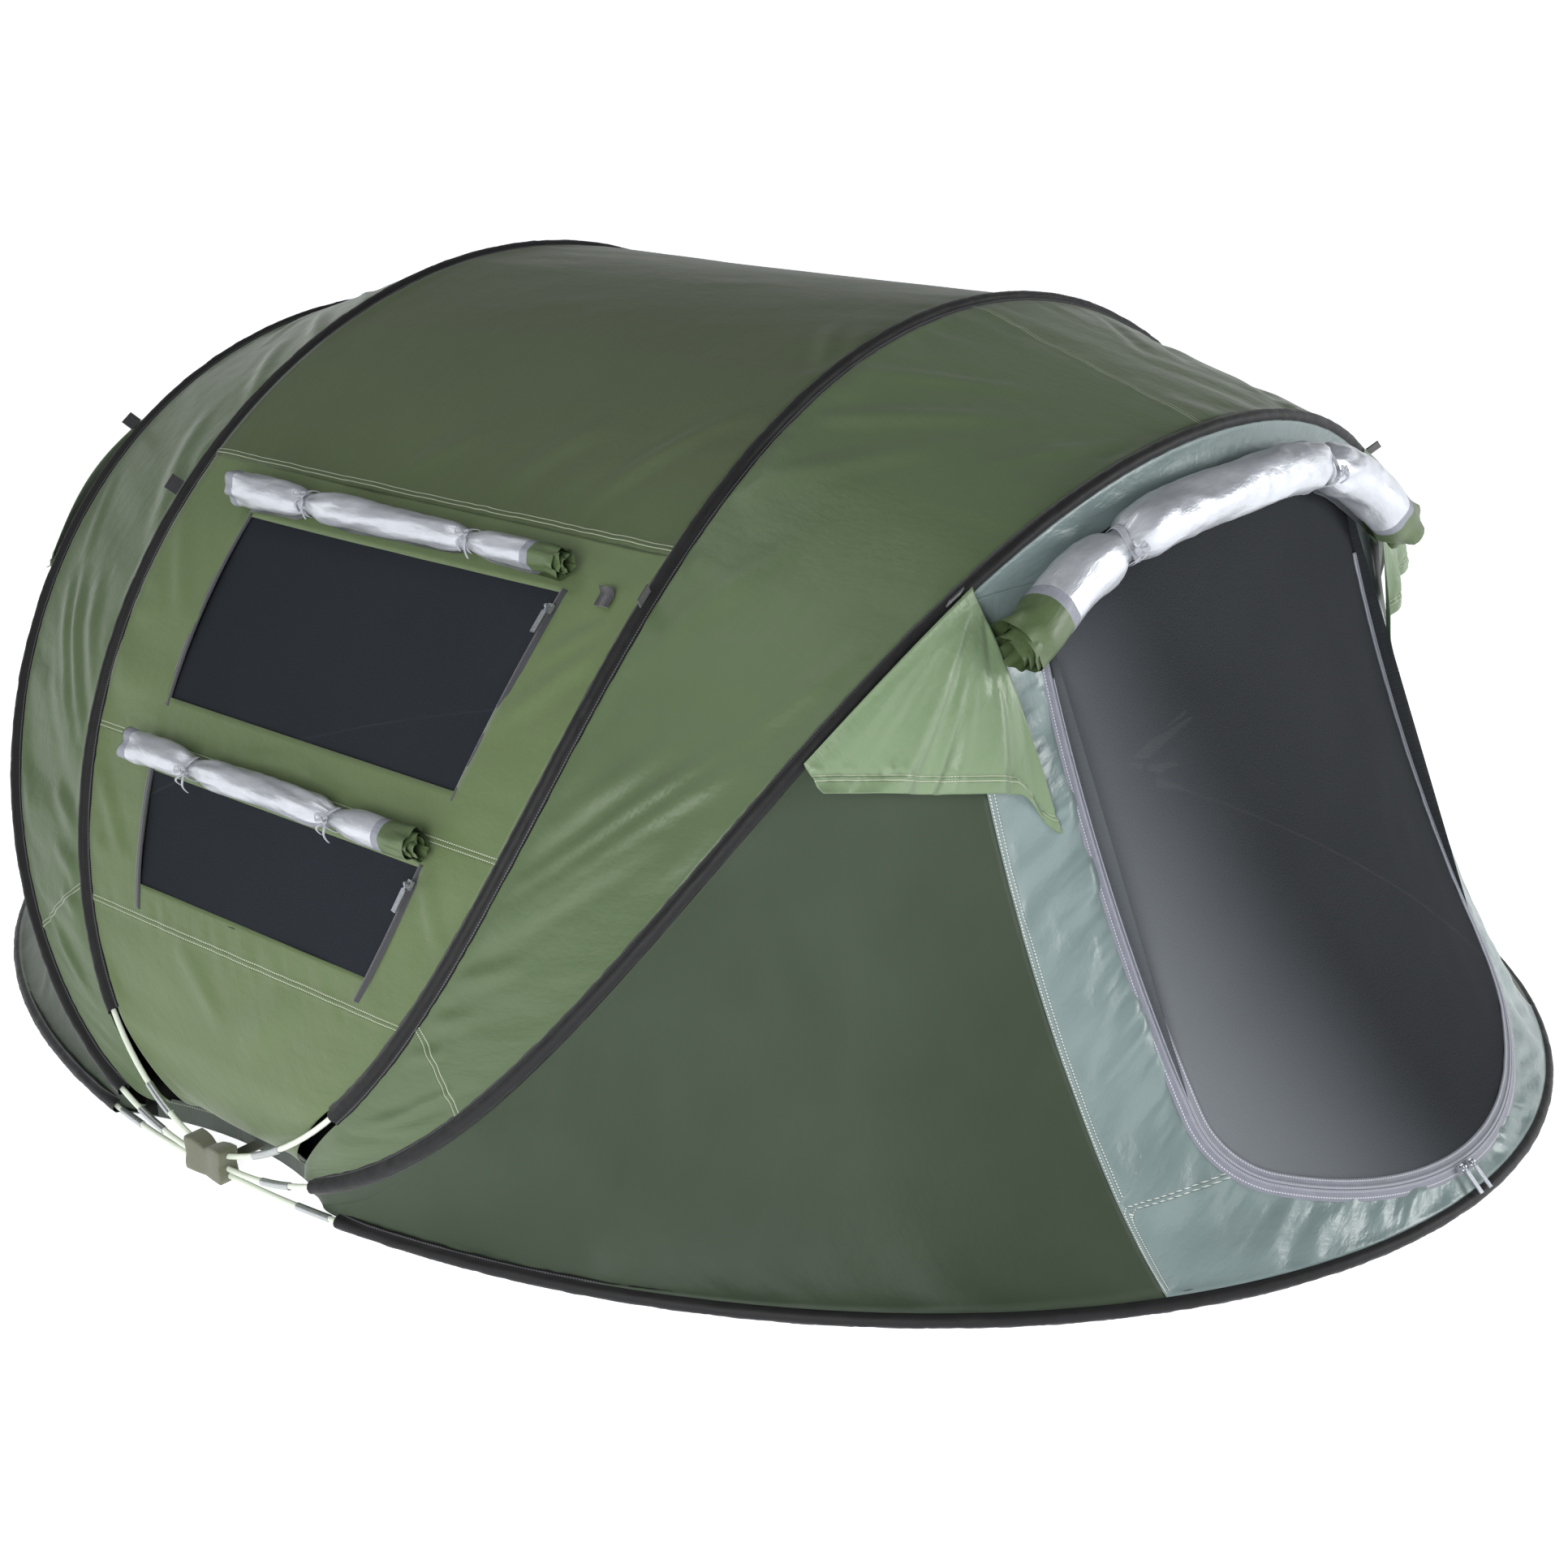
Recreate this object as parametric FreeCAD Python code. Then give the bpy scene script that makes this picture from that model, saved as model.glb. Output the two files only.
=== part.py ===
import FreeCAD, Part
import math
import os

# Pop-up boat tent, standing open. Millimetres.
# X runs from hub to hub, the front door faces -Y, Z is up and the ground is Z = 0.
# The frame is three closed loops of fibreglass rod (ground, door and main), all held together
# in a webbing block at each hub. Every loop has a front half and a rear half.
# A place on a half loop is its turn from hub to hub: 0 degrees at +X, 90 at the top, 180 at -X.

# ---- driving dimensions ----
HUB_HALF_SPAN = 1120.0          # centre line to the rods in a hub
GROUND_REACH = 1394.0           # centre to the ground loop at the doors
DOOR_REACH = 1344.0             # hub line to the top of a door arch
MAIN_REACH = 1218.0             # hub line to the top of a main arch
DOOR_LEAN = 47.62               # degrees, angle of a door arch's top above the ground
MAIN_LEAN = 66.17
DOOR_SPLAY = 50.9               # degrees that an arch opens out from its top to its hub
MAIN_SPLAY = 56.75
SPLAY_POWER = 1.067
ROD_DIAMETER = 8.5
ROD_PITCH = 11.0                # height between the rods where they cross in a hub
SLEEVE_DIAMETER = 20.0
SLEEVE_ROOM = 0.75              # radial play of a rod in its sleeve
CLOTH = 2.0                     # thickness of the solids that stand for cloth
SEAM_GAP = 2.0                  # cloth edge to sleeve
PIECE_GAP = 0.6                 # between neighbouring pieces
WALL_SAG = 60.0                 # how far the end walls curve in between arch and ground
FULL_SAG_WIDTH = 600.0          # a wall narrower than this, towards the hub, curves in less
DOOR_HALF_WIDTH = 412.0
DOOR_SILL = 52.0                # lowest point of the door opening above the ground, along the wall
DOOR_HINGE_HEIGHT = 790.0       # where the mesh door bends when it is lifted
DOOR_BOTTOM_RADIUS = 620.0      # curve of the door's lower edge
DOOR_CORNER = 150.0             # radius of the door's lower corners
DOOR_TOP_SHARE = 0.045          # top of the door opening, share of the wall from arch to ground
WALL_SEAM_TOP = 111.0           # degrees, seam between door wall and side wall at the arch
WALL_SEAM_BOTTOM = 119.5
ROOF_SEAM = 118.8               # degrees, seam between roof and side panel
UPPER_WINDOW = (122.6, 135.5)   # degrees, upper and lower edge
LOWER_WINDOW = (140.6, 149.0)
WINDOW_SHARES = (0.17, 0.86)    # window sides, shares of the way from rear to front arch
ZIP_TAPE = 15.0
WINDOW_ZIP = 8.0
DOOR_ROLL_DIAMETER = 84.0
WINDOW_ROLL_DIAMETER = 52.0
HUB_BLOCK = (34.0, 80.0, 52.0)
FERRULE_DIAMETER = 11.0
FERRULE_LENGTH = 60.0
FERRULE_TURN = 8.5              # degrees from the hub
FLOOR_SIDE = 1035.0             # centre to the floor's side edge
FLOOR_SIDE_BULGE = 55.0
EDGE_STRIP_HEIGHT = 32.0
PULL_LENGTH = 34.0
PULL_WIDTH = 8.0
DOOR_PULL_LEAN = 6.0            # degrees, the door pulls hang over the ground sleeve
WINDOW_ROLL_RISE = 1.2          # degrees from a window's top up to its rolled cover
WINDOW_ROLL_SHARES = (0.145, 0.875)
DOOR_ROLL_TURNS = (72.0, 107.5)
DOOR_ROLL_SHARE = 0.08
WINDOW_TIES = (0.25, 0.75)      # places along a roll
DOOR_TIES = (0.21, 0.71)
TIE_WIDTHS = (8.0, 14.0)        # window, door
AWNING_TURNS = (110.5, 122.0)   # where an awning is sewn along the door arch
AWNING_DROP = (0.30, 0.10)      # how far down the wall it reaches beside the door, and at its far end
AWNING_STAND = (10.0, 18.0)     # off the wall at the arch, and at the hem
GUY_TABS = (("main", 122.0), ("door", 111.3))
GUY_TAB_SIZE = (26.0, 22.0)
STRAP_WIDTH = 24.0
MESH_LAP = 12.0                 # how far the window mesh laps behind the panel
WINDOW_ZIP_RUN = (0.6, 2.0)     # degrees a window zip runs on below the upper and the lower window
FLOOR_START = 14.0              # degrees from the hub where the floor's edge joins the ground loop

# ---- what follows from them ----
SLEEVE_RADIUS = SLEEVE_DIAMETER / 2
ROD_RADIUS = ROD_DIAMETER / 2
ARCH_FULLNESS = (0.302, -0.282)         # how square a main arch's shoulders are: sideways, upwards
DOOR_FULLNESS = (0.394, -0.287)
GROUND_FULLNESS = (-0.015, 0.014)
LOOPS = {
    "ground": (GROUND_REACH, 0.0, 0.0, GROUND_FULLNESS, SLEEVE_RADIUS),
    "door": (DOOR_REACH, DOOR_LEAN, DOOR_SPLAY, DOOR_FULLNESS, SLEEVE_RADIUS + ROD_PITCH),
    "main": (MAIN_REACH, MAIN_LEAN, MAIN_SPLAY, ARCH_FULLNESS, SLEEVE_RADIUS + 2 * ROD_PITCH),
}
SLEEVE_START = {"ground": 10.3, "door": 13.0, "main": 18.2}   # degrees from the hub
FOOT_TURN = 7.0                                               # where the cloth reaches the floor
FOOT_PLACE = {"ground": 242.0, "door": 196.0, "main": 152.0}  # Y of the cloth's foot
ENDS = {"front": -1, "rear": 1}
SIDES = {"left": -1, "right": 1}


def vec(x, y, z):
    return FreeCAD.Vector(x, y, z)


# ---------------------------------------------------------------- loops
def loop_point(loop, end, turn):
    """A point on the rod's centre line."""
    reach, lean, splay, (wide, tall), hub_height = LOOPS[loop]
    angle = math.radians(turn)
    s = math.sin(angle)
    c = math.cos(angle)
    across = HUB_HALF_SPAN * c * (1 + wide * s * s)
    out = reach * s * (1 + tall * c * c)
    up = math.radians(lean - splay * (1 - s) ** SPLAY_POWER)
    return vec(across, ENDS[end] * out * math.cos(up), hub_height + out * math.sin(up))


def loop_direction(loop, end, turn):
    step = 0.01
    along = loop_point(loop, end, turn + step) - loop_point(loop, end, turn - step)
    return along.normalize()


def loop_path(loop, end, start, stop, spans):
    """The rod's line from one turn to another, as pairs of arcs that meet tangent."""
    edges = []
    for k in range(spans):
        turn_a = start + (stop - start) * k / spans
        turn_b = start + (stop - start) * (k + 1) / spans
        a = loop_point(loop, end, turn_a)
        b = loop_point(loop, end, turn_b)
        edges += arc_pair(a, loop_direction(loop, end, turn_a), b, loop_direction(loop, end, turn_b))
    return Part.Wire(edges)


def arc_pair(a, along_a, b, along_b):
    """Two arcs from a to b, tangent to the two directions and to each other."""
    gap = b - a
    both = along_a + along_b
    spread = 2 * (1 - along_a.dot(along_b))
    half = gap.dot(both)
    if spread < 1e-9:
        reach = gap.dot(gap) / (2 * half)
    else:
        reach = (-half + math.sqrt(half * half + spread * gap.dot(gap))) / spread
    corner_a = a + along_a * reach
    corner_b = b - along_b * reach
    middle = (corner_a + corner_b) * 0.5
    return [arc_by_corner(a, corner_a, middle), arc_by_corner(middle, corner_b, b)]


def arc_by_corner(a, corner, b):
    """The arc from a to b whose two end tangents meet at corner."""
    chord = (a + b) * 0.5
    share = (b - a).Length / (2 * (corner - a).Length)
    if share > 1 - 1e-9:
        return Part.LineSegment(a, b).toShape()
    return Part.Arc(a, chord + (corner - chord) * (share / (1 + share)), b).toShape()


def tube(path, radius):
    first = path.Edges[0]
    start = first.valueAt(first.FirstParameter)
    along = first.tangentAt(first.FirstParameter)
    section = Part.Wire(Part.makeCircle(radius, start, along))
    return path.makePipeShell([section], True, False)


def smooth_path(points):
    """Tangent arcs through a few points."""
    edges = []
    directions = []
    for k in range(len(points)):
        before = points[max(k - 1, 0)]
        after = points[min(k + 1, len(points) - 1)]
        directions.append((after - before).normalize())
    for k in range(len(points) - 1):
        edges += arc_pair(points[k], directions[k], points[k + 1], directions[k + 1])
    return Part.Wire(edges)


# ---------------------------------------------------------------- cloth surfaces
def ease(share):
    share = min(max(share, 0.0), 1.0)
    return share * share * (3 - 2 * share)


def foot_point(loop, end, side, height):
    """Where a loop's cloth line ends, on the floor's side edge."""
    y = FOOT_PLACE[loop]
    x = FLOOR_SIDE + FLOOR_SIDE_BULGE * (y / FOOT_PLACE["ground"]) ** 2
    return vec(side * x, ENDS[end] * y, height)


def cloth_line(loop, end, turn):
    """The cloth follows the rod, then leaves it near the hub and runs to the floor."""
    near_hub = min(turn, 180 - turn)
    on_rod = loop_point(loop, end, turn)
    away = ease((SLEEVE_START[loop] - near_hub) / (SLEEVE_START[loop] - FOOT_TURN))
    if away <= 0:
        return on_rod
    side = 1 if turn < 90 else -1
    height = SLEEVE_RADIUS if loop == "ground" else EDGE_STRIP_HEIGHT + 2 * CLOTH
    return on_rod * (1 - away) + foot_point(loop, end, side, height) * away


def between(loop_a, loop_b, turn, share, sag):
    """Straight cloth from one loop to another, with room for the sleeves and an inward sag."""
    a = cloth_line(loop_a[0], loop_a[1], turn)
    b = cloth_line(loop_b[0], loop_b[1], turn)
    gap = b - a
    width = gap.Length
    line = gap * (1 / width)
    edges = []
    for loop in (loop_a, loop_b):
        slant = line.dot(loop_direction(loop[0], loop[1], turn))
        square = math.sqrt(max(1 - slant * slant, 0.5))
        edges.append((SLEEVE_RADIUS + SEAM_GAP) / square)
    place = edges[0] + share * (width - edges[0] - edges[1])
    if sag == 0:
        return a + line * place
    inward = vec(-a.x * 0.3, -a.y - b.y, 0).normalize()
    inward = inward - line * inward.dot(line)
    depth = sag * ease(width / FULL_SAG_WIDTH) * (4 * share * (1 - share)) ** 0.75
    return a + line * place + inward.normalize() * depth


REAR_MAIN = ("main", "rear")
FRONT_MAIN = ("main", "front")
SURFACES = {
    "main": (REAR_MAIN, FRONT_MAIN, 0.0),
    "front_wedge": (FRONT_MAIN, ("door", "front"), 0.0),
    "rear_wedge": (REAR_MAIN, ("door", "rear"), 0.0),
    "front_wall": (("door", "front"), ("ground", "front"), WALL_SAG),
    "rear_wall": (("door", "rear"), ("ground", "rear"), WALL_SAG),
}


OUTWARD = {"main": 1, "front_wedge": 1, "front_wall": 1, "rear_wedge": -1, "rear_wall": -1}


def cloth_point(surface, turn, share, lift=0.0):
    """A point on a cloth surface, or lifted off it, outwards."""
    base = between(*SURFACES[surface][:2], turn, share, SURFACES[surface][2])
    if lift == 0:
        return base
    return base + cloth_normal(surface, turn, share) * lift


def cloth_normal(surface, turn, share):
    """Outward, square to the cloth. The two walls of one end run opposite ways."""
    loop_a, loop_b, sag = SURFACES[surface]
    low = min(max(share, 0.02), 0.98)
    along = between(loop_a, loop_b, turn + 0.2, low, sag) - between(loop_a, loop_b, turn - 0.2, low, sag)
    across = between(loop_a, loop_b, turn, low + 0.01, sag) - between(loop_a, loop_b, turn, low - 0.01, sag)
    normal = along.cross(across).normalize()
    return normal * OUTWARD[surface]


def cloth_patch(surface, turns, shares, lifts, rows=21, columns=5):
    """A closed slab of cloth between two turns and two shares. Each turn may depend on the share."""
    skins = []
    for lift in lifts:
        grid = []
        for i in range(rows):
            line = []
            for j in range(columns):
                share = shares[0] + (shares[1] - shares[0]) * j / (columns - 1)
                first, last = (t(share) if callable(t) else t for t in turns)
                turn = first + (last - first) * i / (rows - 1)
                line.append(cloth_point(surface, turn, share, lift))
            grid.append(line)
        skin = Part.BSplineSurface()
        skin.interpolate(grid)
        skins.append(skin)
    return slab(skins[0], skins[1])


def slab(inner, outer):
    """A solid between two surfaces of the same layout."""
    faces = [inner.toShape(), outer.toShape()]
    borders = []
    for skin in (inner, outer):
        u0, u1, v0, v1 = skin.bounds()
        borders.append([skin.uIso(u0), skin.uIso(u1), skin.vIso(v0), skin.vIso(v1)])
    for low, high in zip(*borders):
        faces.append(Part.makeRuledSurface(low.toShape(), high.toShape()))
    shell = Part.Compound(faces)
    shell.sewShape(0.01)
    solid = Part.Solid(shell.Shells[0])
    if solid.Volume < 0:
        solid.reverse()
    return solid


HALF = CLOTH / 2
SKIN = (-HALF, HALF)
DOOR_HEADROOM = 50.0            # the cutting shapes reach this far past the door's top
DOOR_TOP_GAP = 0.002            # share of the wall between the fixed mesh and the wall above it
WINDOW_CUT = (-20.0, 20.0)


def width_share(surface, turn, width):
    """A width across the cloth, as a share of the way between its loops."""
    return width / (cloth_point(surface, turn, 1) - cloth_point(surface, turn, 0)).Length


def mirror_turns(turns):
    return (180 - turns[1], 180 - turns[0])


# ---------------------------------------------------------------- door opening
def door_frame(end):
    """Origin at the middle of the door's sill; the door lies up the wall from there."""
    wall = end + "_wall"
    top = cloth_point(wall, 90, DOOR_TOP_SHARE)
    foot = cloth_point(wall, 90, 0.99)
    up = (top - foot).normalize()
    return foot + up * (DOOR_SILL - foot.z), up


def door_outline(end, inset, top_height):
    """The D of the door, as a wire in the door's plane: arc below, fillets, straight sides."""
    origin, up = door_frame(end)
    half = DOOR_HALF_WIDTH - inset
    radius = DOOR_BOTTOM_RADIUS - inset
    corner = DOOR_CORNER - inset
    centre_up = DOOR_BOTTOM_RADIUS
    fillet_x = half - corner
    fillet_up = centre_up - math.sqrt((radius - corner) ** 2 - fillet_x ** 2)
    lean = math.atan2(fillet_x, centre_up - fillet_up)
    touch_x = radius * math.sin(lean)
    touch_up = centre_up - radius * math.cos(lean)
    halfway = (lean + math.pi / 2) / 2
    knee_x = fillet_x + corner * math.sin(halfway)
    knee_up = fillet_up - corner * math.cos(halfway)
    top = (top_height - origin.z) / up.z

    def at(x, rise):
        return origin + vec(x, 0, 0) + up * rise

    edges = [
        Part.Arc(at(-touch_x, touch_up), at(0, inset), at(touch_x, touch_up)).toShape(),
        Part.Arc(at(touch_x, touch_up), at(knee_x, knee_up), at(half, fillet_up)).toShape(),
        Part.LineSegment(at(half, fillet_up), at(half, top)).toShape(),
        Part.LineSegment(at(half, top), at(-half, top)).toShape(),
        Part.LineSegment(at(-half, top), at(-half, fillet_up)).toShape(),
        Part.Arc(at(-half, fillet_up), at(-knee_x, knee_up), at(-touch_x, touch_up)).toShape(),
    ]
    return Part.Wire(Part.__sortEdges__(edges))


def door_prism(end, inset, top_height):
    """The outline pushed through the wall, square to it."""
    depth = 400.0
    up = door_frame(end)[1]
    out = up.cross(vec(1, 0, 0)).normalize() * -ENDS[end]
    if out.y * ENDS[end] < 0:
        out = out * -1
    face = Part.Face(door_outline(end, inset, top_height))
    face.translate(out * -depth / 2)
    return face.extrude(out * depth)


def door_band(end, lifts, outer_inset, inner_inset, top_height):
    """A strip of wall that follows the door's edge."""
    layer = wall_layer(end, lifts)
    ring = door_prism(end, outer_inset, top_height)
    return layer.common(ring).cut(door_prism(end, inner_inset, top_height + 2 * CLOTH))


def wall_layer(end, lifts):
    turns = (180 - WALL_SEAM_TOP + PIECE_GAP, WALL_SEAM_TOP - PIECE_GAP)
    return cloth_patch(end + "_wall", turns, (0.0, 1.0), lifts, 25, 13)


def door_crown(end):
    """Height of the top of the door opening at the centre line."""
    return cloth_point(end + "_wall", 90, DOOR_TOP_SHARE).z


def door_top_cut(end, gap=0.0):
    """Trims a wall slab parallel to the arch, just under it."""
    turns = (180 - WALL_SEAM_TOP - 4, WALL_SEAM_TOP + 4)
    return cloth_patch(end + "_wall", turns, (DOOR_TOP_SHARE + gap, 1.0), (-DOOR_HEADROOM, DOOR_HEADROOM), 25, 13)


def single(shape):
    """The largest solid of a cut, refined."""
    return max(shape.Solids, key=lambda s: s.Volume)


def wall_seam(share):
    return WALL_SEAM_TOP + (WALL_SEAM_BOTTOM - WALL_SEAM_TOP) * share


def other_wall_seam(share):
    return 180 - wall_seam(share)


def make_door_wall(end):
    turns = (lambda s: other_wall_seam(s) + PIECE_GAP / 8, lambda s: wall_seam(s) - PIECE_GAP / 8)
    wall = cloth_patch(end + "_wall", turns, (0, 1), SKIN, 25, 13)
    opening = door_prism(end, 0, door_crown(end) + DOOR_HEADROOM).common(door_top_cut(end))
    return single(wall.cut(opening))


def make_side_walls(end):
    """Two walls that run past the ends of the ground sleeve, trimmed clear of it."""
    start = SLEEVE_START["ground"]
    walls = []
    for turns, near_hub in (
        ((wall_seam, 180 - FOOT_TURN), (180 - 3 * start, 180 - start + 1)),
        ((FOOT_TURN, other_wall_seam), (start - 1, 3 * start)),
    ):
        wall = cloth_patch(end + "_wall", turns, (0, 1), SKIN, 21, 9)
        sleeve_room = tube(loop_path("ground", end, near_hub[0], near_hub[1], 3), SLEEVE_RADIUS + PIECE_GAP)
        walls.append(single(wall.cut(sleeve_room)))
    return Part.Compound(walls)


def make_door_mesh(end):
    layer = wall_layer(end, SKIN)
    return single(layer.common(door_prism(end, PIECE_GAP, DOOR_HINGE_HEIGHT - PIECE_GAP)))


def make_door_mesh_top(end):
    layer = wall_layer(end, SKIN).common(door_top_cut(end, DOOR_TOP_GAP))
    top = layer.common(door_prism(end, PIECE_GAP, door_crown(end) + DOOR_HEADROOM))
    return single(top.cut(door_prism(end, -ZIP_TAPE, DOOR_HINGE_HEIGHT + PIECE_GAP)))


def make_frame_zip(end):
    lifts = (HALF + PIECE_GAP, 2 * HALF + PIECE_GAP)
    return single(door_band(end, lifts, -ZIP_TAPE, -PIECE_GAP, DOOR_HINGE_HEIGHT))


def make_door_zip(end):
    lifts = (HALF + PIECE_GAP, 2 * HALF + PIECE_GAP)
    return single(door_band(end, lifts, 2 * PIECE_GAP, ZIP_TAPE, DOOR_HINGE_HEIGHT - PIECE_GAP))


# ---------------------------------------------------------------- frame pieces
def hub_gap_turn(loop):
    """The two halves of a loop end just short of each other inside the hub."""
    step = loop_point(loop, "rear", 1).y
    return PIECE_GAP / step


def make_rod(loop, end):
    start = hub_gap_turn(loop)
    return tube(loop_path(loop, end, start, 180 - start, 16), ROD_RADIUS)


def make_sleeve(loop, end):
    start = SLEEVE_START[loop]
    path = loop_path(loop, end, start, 180 - start, 16)
    return tube(path, SLEEVE_RADIUS).cut(tube(path, ROD_RADIUS + SLEEVE_ROOM))


def ferrule_span(loop, end):
    speed = (loop_point(loop, end, FERRULE_TURN + 0.5) - loop_point(loop, end, FERRULE_TURN - 0.5)).Length
    half = FERRULE_LENGTH / 2 / speed
    return FERRULE_TURN - half, FERRULE_TURN + half


def make_ferrules():
    tubes = []
    for loop in LOOPS:
        for end in ENDS:
            start, stop = ferrule_span(loop, end)
            for first, last in ((start, stop), (180 - stop, 180 - start)):
                path = loop_path(loop, end, first, last, 2)
                outer = tube(path, FERRULE_DIAMETER / 2)
                tubes.append(outer.cut(tube(path, ROD_RADIUS + PIECE_GAP / 4)))
    return Part.Compound(tubes)


def make_hub(side):
    """A block of folded webbing, sewn round the rods."""
    length, width, height = HUB_BLOCK
    corner = vec(HUB_HALF_SPAN - length / 2, -width / 2, 0)
    block = Part.makeBox(length, width, height, corner)
    upright = [e for e in block.Edges if abs(e.tangentAt(e.FirstParameter).z) > 0.9]
    block = block.makeFillet(5.0, upright)
    for loop in LOOPS:
        for end in ENDS:
            path = loop_path(loop, end, 0.0, 6.0, 2)
            block = block.cut(tube(path, ROD_RADIUS + PIECE_GAP / 2))
    return block if side == "right" else flipped(block)


def flipped(shape):
    """The same piece on the other side of the tent."""
    return shape.mirror(vec(0, 0, 0), vec(1, 0, 0))


def make_hub_straps():
    inner = FLOOR_SIDE + CLOTH
    outer = HUB_HALF_SPAN - HUB_BLOCK[0] / 2 - PIECE_GAP
    strap = Part.makeBox(outer - inner, STRAP_WIDTH, CLOTH, vec(inner, -STRAP_WIDTH / 2, SLEEVE_RADIUS))
    return Part.Compound([strap, flipped(strap)])


# ---------------------------------------------------------------- floor
def floor_side_arc(side, offset, y_end):
    """The floor's side edge, moved outwards by offset."""
    points = []
    for y in (-y_end, 0.0, y_end):
        x = FLOOR_SIDE + FLOOR_SIDE_BULGE * (y / FOOT_PLACE["ground"]) ** 2 + offset
        points.append(vec(side * x, y, 0))
    return Part.Arc(*points).toShape()


def make_floor():
    room = SLEEVE_RADIUS + SEAM_GAP
    edges = []
    corner_y = FOOT_PLACE["ground"]
    for end in ENDS:
        line = []
        for k in range(17):
            turn = FLOOR_START + (180 - 2 * FLOOR_START) * k / 16
            on_loop = loop_point("ground", end, turn)
            along = loop_direction("ground", end, turn)
            inward = vec(-along.y, along.x, 0)
            if inward.dot(on_loop) > 0:
                inward = inward * -1
            place = on_loop + inward * room
            line.append(vec(place.x, place.y, 0))
        right = vec(FLOOR_SIDE + FLOOR_SIDE_BULGE, ENDS[end] * corner_y, 0)
        left = vec(-right.x, right.y, 0)
        curve = Part.BSplineCurve()
        curve.interpolate([right] + line + [left])
        edges.append(curve.toShape())
    for side in SIDES.values():
        edges.append(floor_side_arc(side, 0, corner_y))
    outline = Part.Wire(Part.__sortEdges__(edges))
    return Part.Face(outline).extrude(vec(0, 0, CLOTH))


def make_edge_strips():
    """A low dark strip that stands on the floor's side edge, behind each hub."""
    strips = []
    for side in SIDES.values():
        y_end = FOOT_PLACE["door"]
        outer = floor_side_arc(side, 0, y_end)
        inner = floor_side_arc(side, -CLOTH, y_end)
        ends = []
        for k in (0, 1):
            ends.append(Part.LineSegment(outer.Vertexes[k].Point, inner.Vertexes[k].Point).toShape())
        face = Part.Face(Part.Wire(Part.__sortEdges__([outer, inner] + ends)))
        face.translate(vec(0, 0, CLOTH + PIECE_GAP))
        strips.append(face.extrude(vec(0, 0, EDGE_STRIP_HEIGHT)))
    return Part.Compound(strips)


# ---------------------------------------------------------------- canopy
def make_roof():
    return cloth_patch("main", (180 - ROOF_SEAM, ROOF_SEAM), (0, 1), SKIN, 17)


def window_turns(side, window, grow=0.0):
    turns = (window[0] - grow, window[1] + grow)
    return turns if side == "left" else mirror_turns(turns)


def make_side_panel(side):
    turns = (ROOF_SEAM + PIECE_GAP / 8, 180 - FOOT_TURN)
    turns = turns if side == "left" else mirror_turns(turns)
    panel = cloth_patch("main", turns, (0, 1), SKIN, 25)
    for window in (UPPER_WINDOW, LOWER_WINDOW):
        panel = panel.cut(cloth_patch("main", window_turns(side, window), WINDOW_SHARES, WINDOW_CUT, 9))
    return single(panel)


def make_window_mesh(side, window):
    """The mesh is sewn behind the panel and laps its edge all round."""
    turns = window_turns(side, window, 0.5)
    lap = width_share("main", 90, MESH_LAP)
    shares = (WINDOW_SHARES[0] - lap, WINDOW_SHARES[1] + lap)
    below = -HALF - PIECE_GAP
    return cloth_patch("main", turns, shares, (below - HALF, below), 9)


def make_window_zips():
    strips = []
    lifts = (HALF + PIECE_GAP, 2 * HALF + PIECE_GAP)
    for side in SIDES:
        for window, below in zip((UPPER_WINDOW, LOWER_WINDOW), WINDOW_ZIP_RUN):
            width = width_share("main", window[0], WINDOW_ZIP)
            for share in WINDOW_SHARES:
                outward = -width if share < 0.5 else width
                shares = tuple(sorted((share, share + outward)))
                turns = (window[0], window[1] + below)
                turns = turns if side == "left" else mirror_turns(turns)
                strips.append(cloth_patch("main", turns, shares, lifts, 9, 4))
    return Part.Compound(strips)


def make_wedge(end):
    turns = (FOOT_TURN, 180 - FOOT_TURN)
    return cloth_patch(end + "_wedge", turns, (0, 1), SKIN, 41)


# ---------------------------------------------------------------- rolled covers
def window_roll_path(side, window):
    radius = WINDOW_ROLL_DIAMETER / 2
    points = []
    for k in range(5):
        share = WINDOW_ROLL_SHARES[0] + (WINDOW_ROLL_SHARES[1] - WINDOW_ROLL_SHARES[0]) * k / 4
        turn = window[0] - WINDOW_ROLL_RISE
        turn = turn if side == "left" else 180 - turn
        points.append(cloth_point("main", turn, share, radius + 2 * CLOTH + 2 * PIECE_GAP))
    return smooth_path(points)


def door_roll_path(end):
    radius = DOOR_ROLL_DIAMETER / 2
    points = []
    for k in range(6):
        turn = DOOR_ROLL_TURNS[0] + (DOOR_ROLL_TURNS[1] - DOOR_ROLL_TURNS[0]) * k / 5
        points.append(cloth_point(end + "_wall", turn, DOOR_ROLL_SHARE, HALF + radius + 4 * PIECE_GAP))
    return smooth_path(points)


def make_tie(path, share, roll_diameter, width):
    """A webbing loop round a roll, square to it."""
    edge = path.Edges[int(share * len(path.Edges))]
    place = edge.valueAt(edge.FirstParameter)
    along = edge.tangentAt(edge.FirstParameter)
    start = place - along * (width / 2)
    outer = Part.makeCylinder(roll_diameter / 2 + PIECE_GAP + CLOTH / 2, width, start, along)
    inner = Part.makeCylinder(roll_diameter / 2 + PIECE_GAP, width, start, along)
    return outer.cut(inner)


def make_window_ties():
    ties = []
    for side in SIDES:
        for window in (UPPER_WINDOW, LOWER_WINDOW):
            path = window_roll_path(side, window)
            for share in WINDOW_TIES:
                ties.append(make_tie(path, share, WINDOW_ROLL_DIAMETER, TIE_WIDTHS[0]))
    return Part.Compound(ties)


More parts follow.
